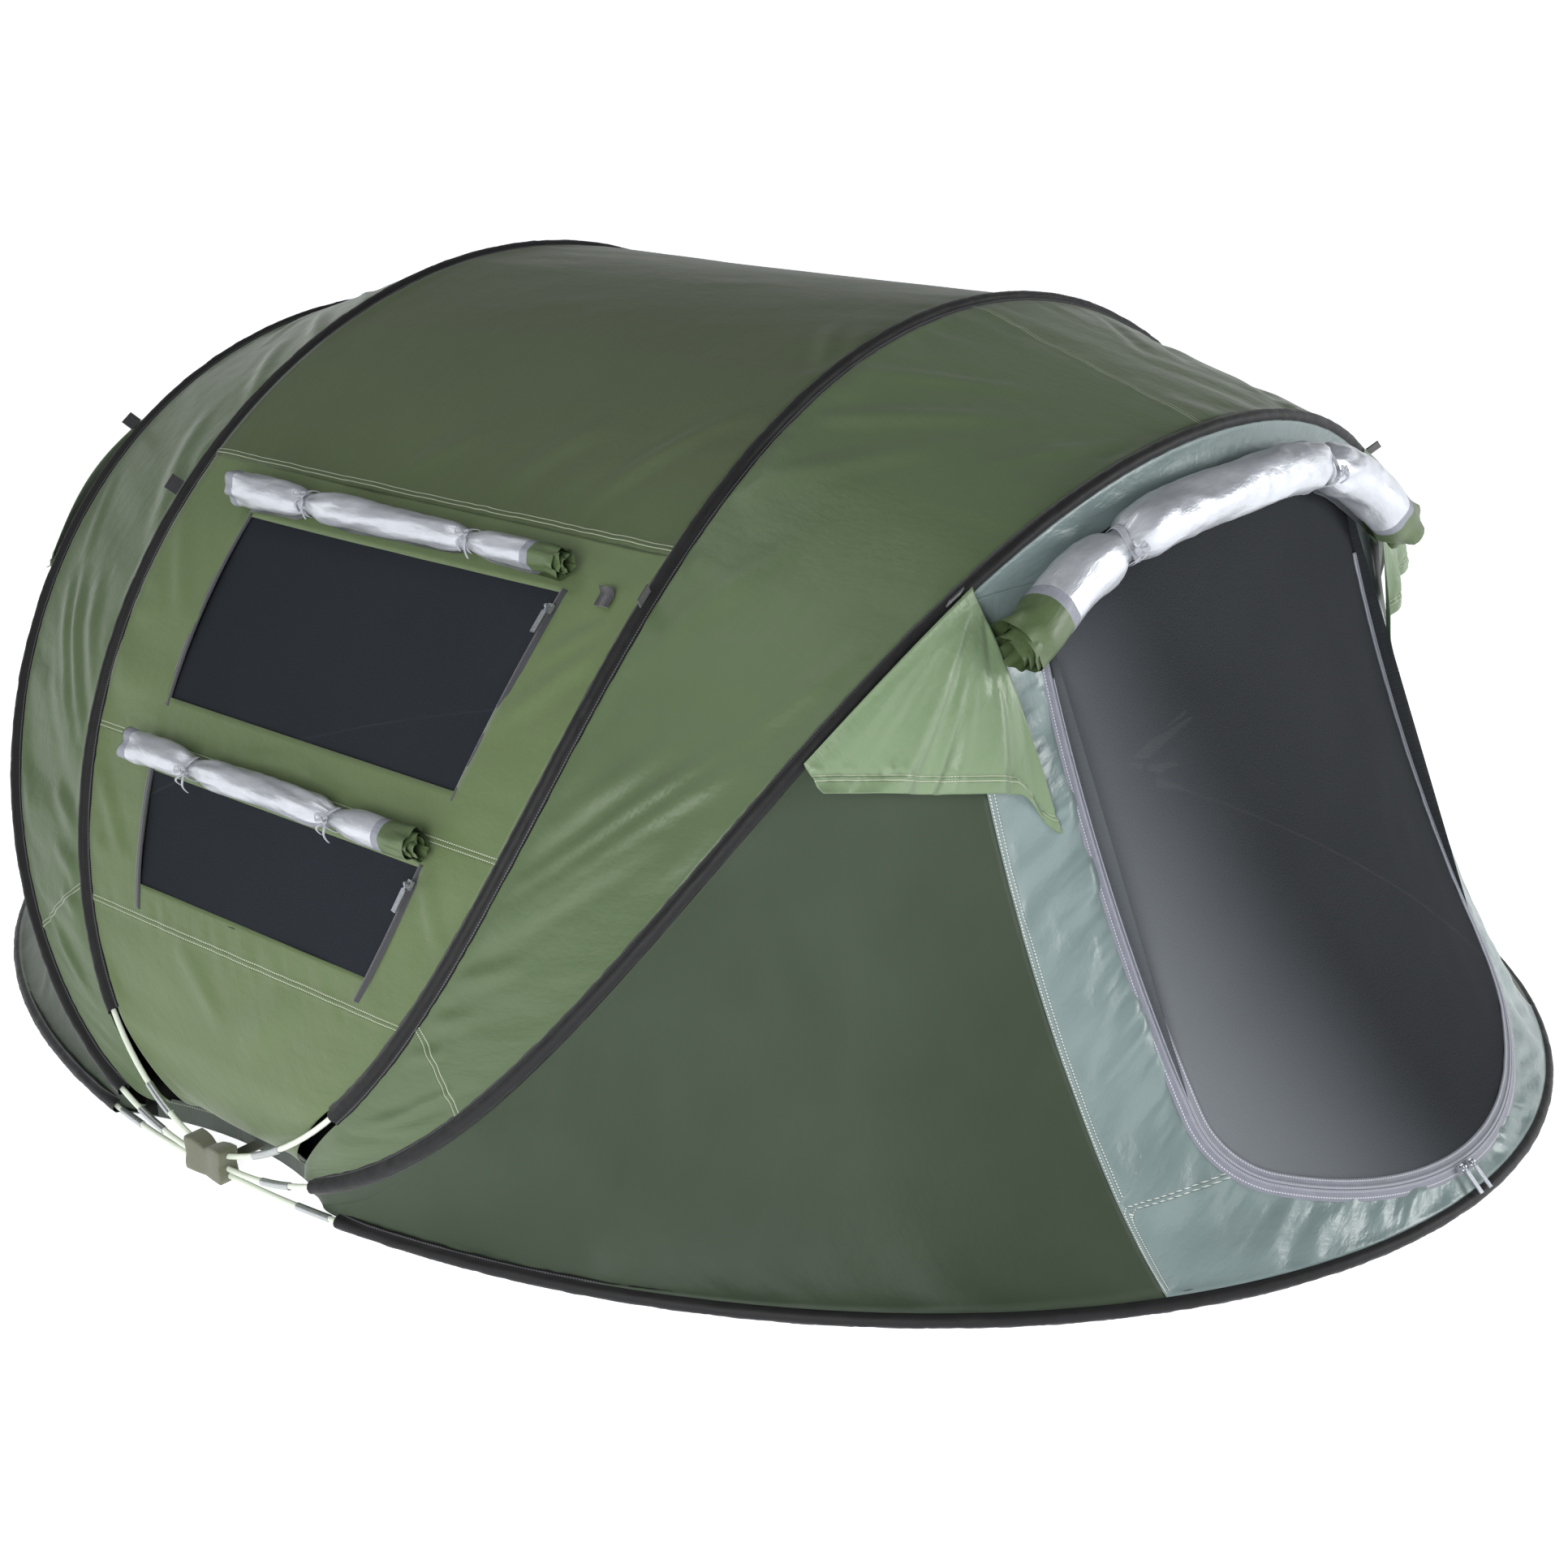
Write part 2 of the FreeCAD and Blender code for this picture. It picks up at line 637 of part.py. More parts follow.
def make_door_ties():
    ties = []
    for end in ENDS:
        path = door_roll_path(end)
        for share in DOOR_TIES:
            ties.append(make_tie(path, share, DOOR_ROLL_DIAMETER, TIE_WIDTHS[1]))
    return Part.Compound(ties)


# ---------------------------------------------------------------- awnings and tabs
def make_awnings(end):
    """A small hood beside each top corner of the door, sewn along the door arch."""
    flaps = []
    for side in SIDES:
        def turned(turn):
            return turn if side == "left" else 180 - turn
        wall = end + "_wall"
        first_turn, last_turn = (turned(turn) for turn in AWNING_TURNS)
        top = cloth_point(wall, first_turn, 0.02, AWNING_STAND[0])
        low = cloth_point(wall, last_turn, 0.04, AWNING_STAND[0])
        tip = cloth_point(wall, first_turn, AWNING_DROP[0], AWNING_STAND[1])
        hem = cloth_point(wall, last_turn, AWNING_DROP[1], AWNING_STAND[1])
        out = cloth_normal(wall, first_turn, 0.2)
        first = Part.Face(Part.makePolygon([top, low, tip, top])).extrude(out * CLOTH)
        second = Part.Face(Part.makePolygon([low, hem, tip, low])).extrude(out * CLOTH)
        flaps.append(first.fuse(second))
    return Part.Compound(flaps)


def make_guy_tabs():
    """Small webbing tabs for guy lines, one on each shoulder of every arch."""
    tabs = []
    size = GUY_TAB_SIZE
    for loop, turn in GUY_TABS:
        for end in ENDS:
            for place in (turn, 180 - turn):
                centre = loop_point(loop, end, place)
                along = loop_direction(loop, end, place)
                out = vec(centre.x, centre.y, centre.z)
                out = (out - along * out.dot(along)).normalize()
                third = along.cross(out)
                base = centre + out * (SLEEVE_RADIUS + PIECE_GAP) - along * (size[0] / 2) - third * HALF
                face = Part.Face(Part.makePolygon([
                    base, base + along * size[0], base + along * size[0] + out * size[1],
                    base + out * size[1], base]))
                tabs.append(face.extrude(third * CLOTH))
    return Part.Compound(tabs)


# ---------------------------------------------------------------- zip sliders
SLIDER_BODY = (13.0, 9.0, 5.0)      # along the zip, across it, thick
SLIDER_LIFT = 2 * HALF + 4 * PIECE_GAP
DOOR_SLIDER_START = -38.0           # where the two door sliders meet
DOOR_SLIDER_PITCH = 22.0
DOOR_SLIDER_TRAVEL = 200.0          # to either side of the door's middle
WINDOW_SLIDER_DROP = 1.2            # degrees below the window's top
BAR_RADIUS = 1.0
BAR_LENGTH = 5.0
POST_SIZE = (1.6, 3.0)
EYE_RADIUS = 3.6
EYE_HOLE = 1.9
BAR_HEIGHT = SLIDER_BODY[2] + EYE_RADIUS + PIECE_GAP
PULL_THICKNESS = 1.8


def box_at(centre, axes, sizes):
    """A box with its middle at centre and its sides along three axes."""
    corner = centre
    for axis, size in zip(axes, sizes):
        corner = corner - axis * (size / 2)
    a, b, c = (axis * size for axis, size in zip(axes, sizes))
    face = Part.Face(Part.makePolygon([corner, corner + a, corner + a + b, corner + b, corner]))
    return face.extrude(c)


def slider_solids(place, along, out, down, lean=0.0):
    """A slider and its pull, which leans out. The pull's eye runs on a bar across the slider's back."""
    across = out.cross(along).normalize()
    pin = out.cross(down).normalize()
    angle = math.radians(lean)
    hang = down * math.cos(angle) + out * math.sin(angle)
    flat = out * math.cos(angle) - down * math.sin(angle)
    body = box_at(place + out * (SLIDER_LIFT + SLIDER_BODY[2] / 2), (along, across, out), SLIDER_BODY)
    bar_middle = place + out * (SLIDER_LIFT + BAR_HEIGHT)
    bar = Part.makeCylinder(BAR_RADIUS, BAR_LENGTH + 2, bar_middle - pin * (BAR_LENGTH / 2 + 1), pin)
    body = body.fuse(bar)
    post_height = BAR_HEIGHT - SLIDER_BODY[2] + 3 * BAR_RADIUS
    for hand in (-1, 1):
        foot = bar_middle + pin * (hand * (BAR_LENGTH / 2 + 1)) - out * (post_height / 2 - 2 * BAR_RADIUS)
        post = box_at(foot, (pin, out, down), (POST_SIZE[0], post_height, POST_SIZE[1]))
        body = body.fuse(post)
    eye_width = BAR_LENGTH - 3 * PIECE_GAP
    eye_start = bar_middle - pin * (eye_width / 2)
    eye = Part.makeCylinder(EYE_RADIUS, eye_width, eye_start, pin)
    neck_start = (EYE_HOLE + EYE_RADIUS) / 2
    neck_length = 2 * EYE_RADIUS
    neck = box_at(bar_middle + hang * (neck_start + neck_length / 2), (hang, pin, flat),
                  (neck_length, eye_width, PULL_THICKNESS))
    tab = box_at(bar_middle + hang * (2 * EYE_RADIUS + PULL_LENGTH / 2), (hang, pin, flat),
                 (PULL_LENGTH, PULL_WIDTH, PULL_THICKNESS))
    pull = eye.fuse(neck).fuse(tab)
    pull = pull.cut(Part.makeCylinder(EYE_HOLE, eye_width + 2, eye_start - pin, pin))
    return single(body), single(pull), bar_middle, pin


def circle_through(a, b, c):
    """Centre and axis of the circle through three points."""
    circle = Part.Circle(a, b, c)
    return circle.Center, circle.Axis


def wall_place(end, x, share):
    """The turn at which a wall line of constant share passes x."""
    low, high = 60.0, 120.0
    for _ in range(30):
        middle = (low + high) / 2
        if cloth_point(end + "_wall", middle, share).x > x:
            low = middle
        else:
            high = middle
    return low


def door_track_place(end, x):
    """Turn and share of the middle of the fixed zip tape, on the door's lower curve."""
    origin, up = door_frame(end)
    radius = DOOR_BOTTOM_RADIUS + ZIP_TAPE / 2
    rise = DOOR_BOTTOM_RADIUS - math.sqrt(radius * radius - x * x)
    low, high = 0.70, 1.0
    for _ in range(30):
        share = (low + high) / 2
        turn = wall_place(end, x, share)
        if (cloth_point(end + "_wall", turn, share) - origin).dot(up) > rise:
            low = share
        else:
            high = share
    return turn, share


def door_track_point(end, x, lift):
    return cloth_point(end + "_wall", *door_track_place(end, x), lift)


def door_track(end):
    """Centre and axis of the circle that a door slider follows."""
    points = [door_track_point(end, x, 0) for x in (-DOOR_SLIDER_TRAVEL, 0, DOOR_SLIDER_TRAVEL)]
    return circle_through(*points)


def make_door_slider(end, hand):
    turn, share = door_track_place(end, DOOR_SLIDER_START + hand * DOOR_SLIDER_PITCH / 2)
    place = cloth_point(end + "_wall", turn, share)
    centre, axis = door_track(end)
    along = axis.cross(place - centre).normalize()
    out = cloth_normal(end + "_wall", turn, share)
    out = (out - along * out.dot(along)).normalize()
    down = out.cross(along).normalize()
    if down.z > 0:
        down = down * -1
    return slider_solids(place, along, out, down, DOOR_PULL_LEAN)


def window_track_point(side, turn):
    turn = turn if side == "left" else 180 - turn
    share = WINDOW_SHARES[1] + width_share("main", turn, WINDOW_ZIP / 2)
    return cloth_point("main", turn, share), cloth_normal("main", turn, share)


def window_track(side, window):
    """Centre and axis of the circle that a window slider follows."""
    turns = (window[0] + 1, (window[0] + window[1]) / 2, window[1] - 1)
    return circle_through(*[window_track_point(side, turn)[0] for turn in turns])


def make_window_slider(side, window):
    place, out = window_track_point(side, window[0] + WINDOW_SLIDER_DROP)
    centre, axis = window_track(side, window)
    along = axis.cross(place - centre).normalize()
    if along.z > 0:
        along = along * -1
    out = (out - along * out.dot(along)).normalize()
    return slider_solids(place, along, out, along)


# ---------------------------------------------------------------- all pieces
WINDOWS = {"upper": UPPER_WINDOW, "lower": LOWER_WINDOW}


def all_pieces():
    pieces = {}
    for loop in LOOPS:
        pieces[loop + "_loop_rods"] = Part.Compound([make_rod(loop, end) for end in ENDS])
        pieces[loop + "_loop_sleeves"] = Part.Compound([make_sleeve(loop, end) for end in ENDS])
    pieces["door_mesh_tops"] = Part.Compound([make_door_mesh_top(end) for end in ENDS])
    pieces["door_frame_zips"] = Part.Compound([make_frame_zip(end) for end in ENDS])
    pieces["rod_ferrules"] = make_ferrules()
    pieces["hub_straps"] = make_hub_straps()
    pieces["floor_sheet"] = make_floor()
    pieces["floor_edge_strips"] = make_edge_strips()
    pieces["roof_panel"] = make_roof()
    pieces["window_zips"] = make_window_zips()
    pieces["window_cover_ties"] = make_window_ties()
    pieces["door_cover_ties"] = make_door_ties()
    pieces["guy_tabs"] = make_guy_tabs()
    for side in SIDES:
        pieces["hub_block_" + side] = make_hub(side)
        pieces["side_panel_" + side] = make_side_panel(side)
        for name, window in WINDOWS.items():
            pieces["window_mesh_" + name + "_" + side] = make_window_mesh(side, window)
            roll = tube(window_roll_path(side, window), WINDOW_ROLL_DIAMETER / 2)
            pieces["window_cover_" + name + "_" + side] = roll
            body, pull = make_window_slider(side, window)[:2]
            pieces["window_slider_" + name + "_" + side] = body
            pieces["window_pull_" + name + "_" + side] = pull
    for end in ENDS:
        pieces[end + "_wedge"] = make_wedge(end)
        pieces[end + "_side_walls"] = make_side_walls(end)
        pieces[end + "_door_wall"] = make_door_wall(end)
        pieces[end + "_door_mesh"] = make_door_mesh(end)
        pieces[end + "_door_zip"] = make_door_zip(end)
        pieces[end + "_door_cover"] = tube(door_roll_path(end), DOOR_ROLL_DIAMETER / 2)
        pieces[end + "_awnings"] = make_awnings(end)
        for name, hand in (("left", -1), ("right", 1)):
            body, pull = make_door_slider(end, hand)[:2]
            pieces[end + "_door_slider_" + name] = body
            pieces[end + "_door_pull_" + name] = pull
    return pieces


def main():
    os.makedirs("parts", exist_ok=True)
    for name, shape in all_pieces().items():
        shape.exportStep("parts/" + name + ".step")


main()
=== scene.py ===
import bpy
import math
import numpy as np
from mathutils import Matrix, Vector


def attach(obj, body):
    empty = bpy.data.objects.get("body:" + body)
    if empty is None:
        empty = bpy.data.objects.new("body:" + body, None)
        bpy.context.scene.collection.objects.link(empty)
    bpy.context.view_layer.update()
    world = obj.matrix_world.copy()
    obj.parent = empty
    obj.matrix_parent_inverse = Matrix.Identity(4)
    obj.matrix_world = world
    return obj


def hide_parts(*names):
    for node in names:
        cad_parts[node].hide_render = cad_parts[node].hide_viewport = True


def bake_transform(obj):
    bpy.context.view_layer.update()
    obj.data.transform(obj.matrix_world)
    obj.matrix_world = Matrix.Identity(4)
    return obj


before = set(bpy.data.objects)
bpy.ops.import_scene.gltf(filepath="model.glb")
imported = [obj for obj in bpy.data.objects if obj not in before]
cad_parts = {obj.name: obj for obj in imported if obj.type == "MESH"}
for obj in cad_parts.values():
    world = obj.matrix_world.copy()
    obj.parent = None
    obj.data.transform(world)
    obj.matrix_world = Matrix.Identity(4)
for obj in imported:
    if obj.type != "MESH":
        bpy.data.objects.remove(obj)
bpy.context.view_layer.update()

# ---------------------------------------------------------------- camera, light and floor
# The tent stands on a plain pale studio floor. The camera looks at its left front corner from a
# little above, with soft light from the left and above and a pale room all round.
scene = bpy.context.scene
scene.view_settings.view_transform = "Standard"
camera_turn, camera_rise, camera_roll = (math.radians(a) for a in (-48.4, 17.21, -0.65))
backward = Vector((math.sin(camera_turn) * math.cos(camera_rise),
                   -math.cos(camera_turn) * math.cos(camera_rise), math.sin(camera_rise)))
level = Vector((math.cos(camera_turn), math.sin(camera_turn), 0))
upward = backward.cross(level)
side_axis = level * math.cos(camera_roll) + upward * math.sin(camera_roll)
camera_data = bpy.data.cameras.new("camera")
camera_data.lens, camera_data.sensor_width = 54.92, 36
camera_data.shift_x, camera_data.shift_y = 0.0340, -0.0834
camera = bpy.data.objects.new("camera", camera_data)
turned = Matrix((side_axis, backward.cross(side_axis), backward)).transposed().to_4x4()
camera_aim, camera_distance = Vector((0, 0, 0.504)), 4.047
camera.matrix_world = Matrix.Translation(camera_aim + backward * camera_distance) @ turned
scene.collection.objects.link(camera)
scene.camera = camera

world = bpy.data.worlds.new("studio")
world.use_nodes = True
sky = world.node_tree.nodes["Background"].inputs
sky["Color"].default_value, sky["Strength"].default_value = (0.96, 0.98, 1.0, 1), 0.14
scene.world = world


def softbox(name, place, aim, size, power):
    lamp = bpy.data.lights.new(name, "AREA")
    lamp.shape, lamp.size, lamp.energy = "DISK", size, power
    box = bpy.data.objects.new(name, lamp)
    direction = Vector(aim) - Vector(place)
    box.matrix_world = Matrix.Translation(place) @ direction.to_track_quat("-Z", "Y").to_matrix().to_4x4()
    scene.collection.objects.link(box)


softbox("key_light", (-4.4, -2.2, 1.7), (-0.2, -0.2, 0.3), 2.2, 135)
softbox("top_light", (-1.6, 0.9, 4.5), (0, 0, 0.6), 2.2, 34)
softbox("door_light", (2.3, -4.4, 1.5), (0.2, -1.1, 0.3), 1.6, 95)

# A low white wall stands a long way off all round, so that the horizon is white too.
bpy.ops.object.select_all(action="DESELECT")
bpy.ops.mesh.primitive_cylinder_add(vertices=96, radius=19.5, depth=4.4, end_fill_type="NOTHING",
                                    location=(0, 0, 2.19))
backdrop = bpy.context.object
backdrop.name = "studio_wall"

bpy.ops.object.select_all(action="DESELECT")
bpy.ops.mesh.primitive_plane_add(size=40, location=(0, 0, -0.0005))
studio_floor = bpy.context.object
studio_floor.name = "studio_floor"


class Finish:
    """One value or colour inside a material, so that a pattern is written as plain arithmetic."""

    def __init__(self, tree, socket):
        self.tree, self.socket = tree, socket

    def add(self, kind, settings=None, values=None, out=0):
        """Any node: its settings first, then the values or links of its sockets."""
        node = self.tree.nodes.new(kind)
        for name, value in (settings or {}).items():
            if name == "stops":
                while len(node.color_ramp.elements) < len(value):
                    node.color_ramp.elements.new(0.5)
                for element, (position, colour) in zip(node.color_ramp.elements, value):
                    element.position, element.color = position, colour
            else:
                setattr(node, name, value)
        for name, value in (values or {}).items():
            if isinstance(value, Finish):
                self.tree.links.new(value.socket, node.inputs[name])
            else:
                node.inputs[name].default_value = value
        return Finish(self.tree, node.outputs[out])

    def sum(self, operation, *terms):
        return self.add("ShaderNodeMath", {"operation": operation}, dict(enumerate(terms)))

    def __add__(self, other): return self.sum("ADD", self, other)
    def __radd__(self, other): return self.sum("ADD", other, self)
    def __sub__(self, other): return self.sum("SUBTRACT", self, other)
    def __rsub__(self, other): return self.sum("SUBTRACT", other, self)
    def __mul__(self, other): return self.sum("MULTIPLY", self, other)
    def __rmul__(self, other): return self.sum("MULTIPLY", other, self)
    def __truediv__(self, other): return self.sum("DIVIDE", self, other)
    def __lt__(self, other): return self.sum("LESS_THAN", self, other)
    def __gt__(self, other): return self.sum("GREATER_THAN", self, other)
    def __abs__(self): return self.sum("ABSOLUTE", self)
    def sin(self): return self.sum("SINE", self)

    def axis(self, index):
        return self.add("ShaderNodeSeparateXYZ", None, {0: self}, index)

    def scaled(self, x, y, z=1):
        return self.add("ShaderNodeMapping", None, {"Vector": self, "Scale": (x, y, z)})

    def noise(self, scale, detail=2, rough=0.5):
        return self.add("ShaderNodeTexNoise", None,
                        {"Vector": self, "Scale": scale, "Detail": detail, "Roughness": rough})

    def smooth(self, low, high):
        return self.add("ShaderNodeMapRange", {"interpolation_type": "SMOOTHSTEP"},
                        {"Value": self, "From Min": low, "From Max": high})

    def tint(self, colour, other):
        """This value blends from one colour to another."""
        return self.add("ShaderNodeMix", {"data_type": "RGBA"}, {"Factor": self, 6: colour, 7: other}, 2)

    def bumps(self, strength, distance, under=None):
        values = {"Height": self, "Strength": strength, "Distance": distance}
        if under:
            values["Normal"] = under
        return self.add("ShaderNodeBump", None, values)


def rgb(red, green, blue):
    """A colour as a paint chart gives it, made linear."""
    linear = [c / 255 / 12.92 if c < 10.3 else ((c / 255 + 0.055) / 1.055) ** 2.4 for c in (red, green, blue)]
    return tuple(linear) + (1,)


def new_finish(name, fixed):
    """A material whose even values are set on its shader, and a place to start its patterns from."""
    material = bpy.data.materials.new(name)
    material.use_nodes = True
    tree = material.node_tree
    shader = tree.nodes["Principled BSDF"]
    for key, value in fixed.items():
        shader.inputs[key].default_value = value
    start = Finish(tree, tree.nodes.new("ShaderNodeTexCoord").outputs["Object"])
    return material, start, shader


def connect(start, shader, **patterns):
    for name, pattern in patterns.items():
        start.tree.links.new(pattern.socket, shader.inputs[name.replace("_", " ")])


floor_paint, spot, shader = new_finish("pale_floor", {
    "Roughness": 0.7, "Emission Color": (0.97, 0.98, 1.0, 1), "Emission Strength": 0.86,
    "Specular IOR Level": 0.2})
cloudy = spot.noise(1.5, 3)
connect(spot, shader, Base_Color=cloudy.tint(rgb(240, 241, 243), rgb(248, 248, 249)))
studio_floor.data.materials.append(floor_paint)
wall_paint, spot, shader = new_finish("white_wall", {"Roughness": 0.8, "Emission Color": (0.98, 0.99, 1.0, 1),
                                                     "Emission Strength": 0.82})
connect(spot, shader, Base_Color=spot.noise(0.8, 2).tint(rgb(236, 238, 240), rgb(246, 246, 247)))
backdrop.data.materials.append(wall_paint)


def painted(node, material):
    """A CAD node keeps its shape and gets a real finish."""
    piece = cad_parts[node]
    piece.data.materials.clear()
    piece.data.materials.append(material)


# ---------------------------------------------------------------- rods and ferrules
# Three loops of pultruded fibreglass rod, ivory with a green cast and fine lengthwise fibres.
# The rod ends are glued into short steel tubes near each hub.
rod_finish, spot, shader = new_finish("fibreglass", {"Coat Weight": 0.4, "Coat Roughness": 0.2})
fibres = spot.noise(240, 4, 0.7)
mottle = spot.noise(14, 3)
connect(spot, shader, Base_Color=mottle.tint(rgb(196, 204, 188), rgb(216, 222, 208)),
        Roughness=0.28 + fibres * 0.25, Normal=fibres.bumps(0.3, 0.0006))
for loop_name in ("ground", "door", "main"):
    painted(loop_name + "_loop_rods", rod_finish)

ferrule_finish, spot, shader = new_finish("drawn_steel", {"Metallic": 0.9})
scratches = spot.scaled(1, 1, 6).noise(160, 4, 0.7)
connect(spot, shader, Base_Color=scratches.tint(rgb(150, 154, 156), rgb(205, 207, 206)),
        Roughness=0.25 + scratches * 0.25, Normal=scratches.bumps(0.2, 0.0004))
painted("rod_ferrules", ferrule_finish)

# ---------------------------------------------------------------- sleeves
# Tubes of dark binding cloth that carry the rods. Each is a folded strip, sewn to the cloth on
# both sides along a flat edge, a little crumpled along the rod.
LOOPS = {   # reach, lean and splay in degrees, fullness sideways and upwards, height at the hub
    "ground": (1.394, 0.0, 0.0, -0.015, 0.014, 0.010),
    "door": (1.344, 47.62, 50.9, 0.394, -0.287, 0.021),
    "main": (1.218, 66.17, 56.75, 0.302, -0.282, 0.032),
}
HUB_SPAN = 1.120
SLEEVE_START = {"ground": 10.3, "door": 13.0, "main": 18.2}
FOOT_PLACE = {"ground": 0.242, "door": 0.196, "main": 0.152}
FOOT_TURN = 7.0
ENDS = {"front": -1, "rear": 1}
SIDES = {"left": -1, "right": 1}


def ease(share):
    share = np.clip(share, 0, 1)
    return share * share * (3 - 2 * share)


def unit(vectors):
    return vectors / np.linalg.norm(vectors, axis=-1, keepdims=True)


def loop_point(loop, end, turn):
    """A point on a rod's centre line; turn is 0 at the right hub, 90 at the top, 180 at the left."""
    reach, lean, splay, wide, tall, hub_height = LOOPS[loop]
    s, c = np.sin(np.radians(turn)), np.cos(np.radians(turn))
    out = reach * s * (1 + tall * c * c)
    up = np.radians(lean - splay * (1 - s) ** 1.067)
    return np.stack([HUB_SPAN * c * (1 + wide * s * s), ENDS[end] * out * np.cos(up),
                     hub_height + out * np.sin(up)], -1)


def loop_direction(loop, end, turn):
    return unit(loop_point(loop, end, turn + 0.01) - loop_point(loop, end, turn - 0.01))


def cloth_line(loop, end, turn):
    """The cloth follows the rod, then leaves it near the hub and runs to the floor's edge."""
    near_hub = np.minimum(turn, 180 - turn)
    away = ease((SLEEVE_START[loop] - near_hub) / (SLEEVE_START[loop] - FOOT_TURN))[..., None]
    y = FOOT_PLACE[loop]
    x = 1.035 + 0.055 * (y / FOOT_PLACE["ground"]) ** 2
    height = 0.010 if loop == "ground" else 0.036
    side = np.where(turn < 90, 1.0, -1.0)
    foot = np.stack([side * x, np.full_like(side, ENDS[end] * y), np.full_like(side, height)], -1)
    return loop_point(loop, end, turn) * (1 - away) + foot * away


SURFACES = {   # two loops, how far the cloth sags inwards, and which way it faces
    "main": (("main", "rear"), ("main", "front"), 0.0, 1),
    "front_wedge": (("main", "front"), ("door", "front"), 0.0, 1),
    "rear_wedge": (("main", "rear"), ("door", "rear"), 0.0, -1),
    "front_wall": (("door", "front"), ("ground", "front"), 0.060, 1),
    "rear_wall": (("door", "rear"), ("ground", "rear"), 0.060, -1),
}


def cloth_point(surface, turn, share, lift=0.0):
    """A point on the cloth between two sleeves, share of the way from one to the other."""
    turn, share = np.broadcast_arrays(np.asarray(turn, float), np.asarray(share, float))
    loop_a, loop_b, sag, _ = SURFACES[surface]
    a, b = cloth_line(*loop_a, turn), cloth_line(*loop_b, turn)
    width = np.linalg.norm(b - a, axis=-1)
    line = (b - a) / width[..., None]
    edges = []
    for loop in (loop_a, loop_b):
        slant = (line * loop_direction(*loop, turn)).sum(-1)
        edges.append(0.012 / np.sqrt(np.maximum(1 - slant * slant, 0.5)))
    place = a + line * (edges[0] + share * (width - edges[0] - edges[1]))[..., None]
    if sag:
        inward = unit(np.stack([-a[..., 0] * 0.3, -a[..., 1] - b[..., 1], 0 * width], -1))
        inward = unit(inward - line * (inward * line).sum(-1)[..., None])
        bow = np.clip(4 * share * (1 - share), 0, 1) ** 0.75
        place = place + inward * (sag * ease(width / 0.6) * bow)[..., None]
    if np.any(lift):
        place = place + cloth_normal(surface, turn, share) * np.asarray(lift)[..., None]
    return place


def cloth_normal(surface, turn, share):
    low = np.clip(share, 0.02, 0.98)
    along = cloth_point(surface, turn + 0.2, low) - cloth_point(surface, turn - 0.2, low)
    across = cloth_point(surface, turn, low + 0.01) - cloth_point(surface, turn, low - 0.01)
    return unit(np.cross(along, across)) * SURFACES[surface][3]


def crumple(u, v, seed):
    """Smooth random heights from -1 to 1; u and v count lumps."""
    table = np.random.default_rng(seed).uniform(-1, 1, (96, 96))
    u, v = np.broadcast_arrays(u, v)
    i, j = np.floor(u).astype(int), np.floor(v).astype(int)
    s, t = ease(u - i), ease(v - j)
    near = table[i % 96, j % 96] * (1 - s) + table[(i + 1) % 96, j % 96] * s
    far = table[i % 96, (j + 1) % 96] * (1 - s) + table[(i + 1) % 96, (j + 1) % 96] * s
    return near * (1 - t) + far * t


def woven_mesh(name, grids, maps, keep=None, closed=False):
    """A mesh from rows of points, with its own pattern maps; closed joins each row's end to its start."""
    vertices, faces, corner_maps = [], [], {key: [] for key in maps[0]}
    for grid, own in zip(grids, maps):
        rows, columns = grid.shape[:2]
        start = len(vertices)
        vertices.extend(grid.reshape(-1, 3).tolist())
        for i in range(rows - 1):
            for j in range(columns - 1):
                if keep is not None and not keep[i][j]:
                    continue
                k = i * columns + j
                last = closed and j == columns - 2
                right = i * columns if last else k + 1
                quad = (k, k + columns, right + columns, right)
                faces.append([start + q for q in quad])
                for key, values in own.items():
                    corner_maps[key].extend([values[i, j], values[i + 1, j],
                                             values[i + 1, j + 1], values[i, j + 1]])
    mesh = bpy.data.meshes.new(name)
    mesh.from_pydata(vertices, [], faces)
    for key, values in corner_maps.items():
        mesh.uv_layers.new(name=key).uv.foreach_set("vector", np.array(values, np.float32).ravel())
    mesh.update()
    piece = bpy.data.objects.new(name, mesh)
    scene.collection.objects.link(piece)
    bpy.ops.object.select_all(action="DESELECT")
    piece.select_set(True)
    bpy.context.view_layer.objects.active = piece
    if closed:   # the joined last column's spare points go
        bpy.ops.object.mode_set(mode="EDIT")
        bpy.ops.mesh.select_all(action="SELECT")
        bpy.ops.mesh.delete_loose()
        bpy.ops.object.mode_set(mode="OBJECT")
    bpy.ops.object.shade_smooth()
    return piece


def lengths(points, axis):
    """Distance along the rows or columns of a grid, in metres."""
    steps = np.linalg.norm(np.diff(points, axis=axis), axis=-1)
    first = np.zeros_like(np.take(steps, [0], axis))
    return np.concatenate([first, np.cumsum(steps, axis)], axis)


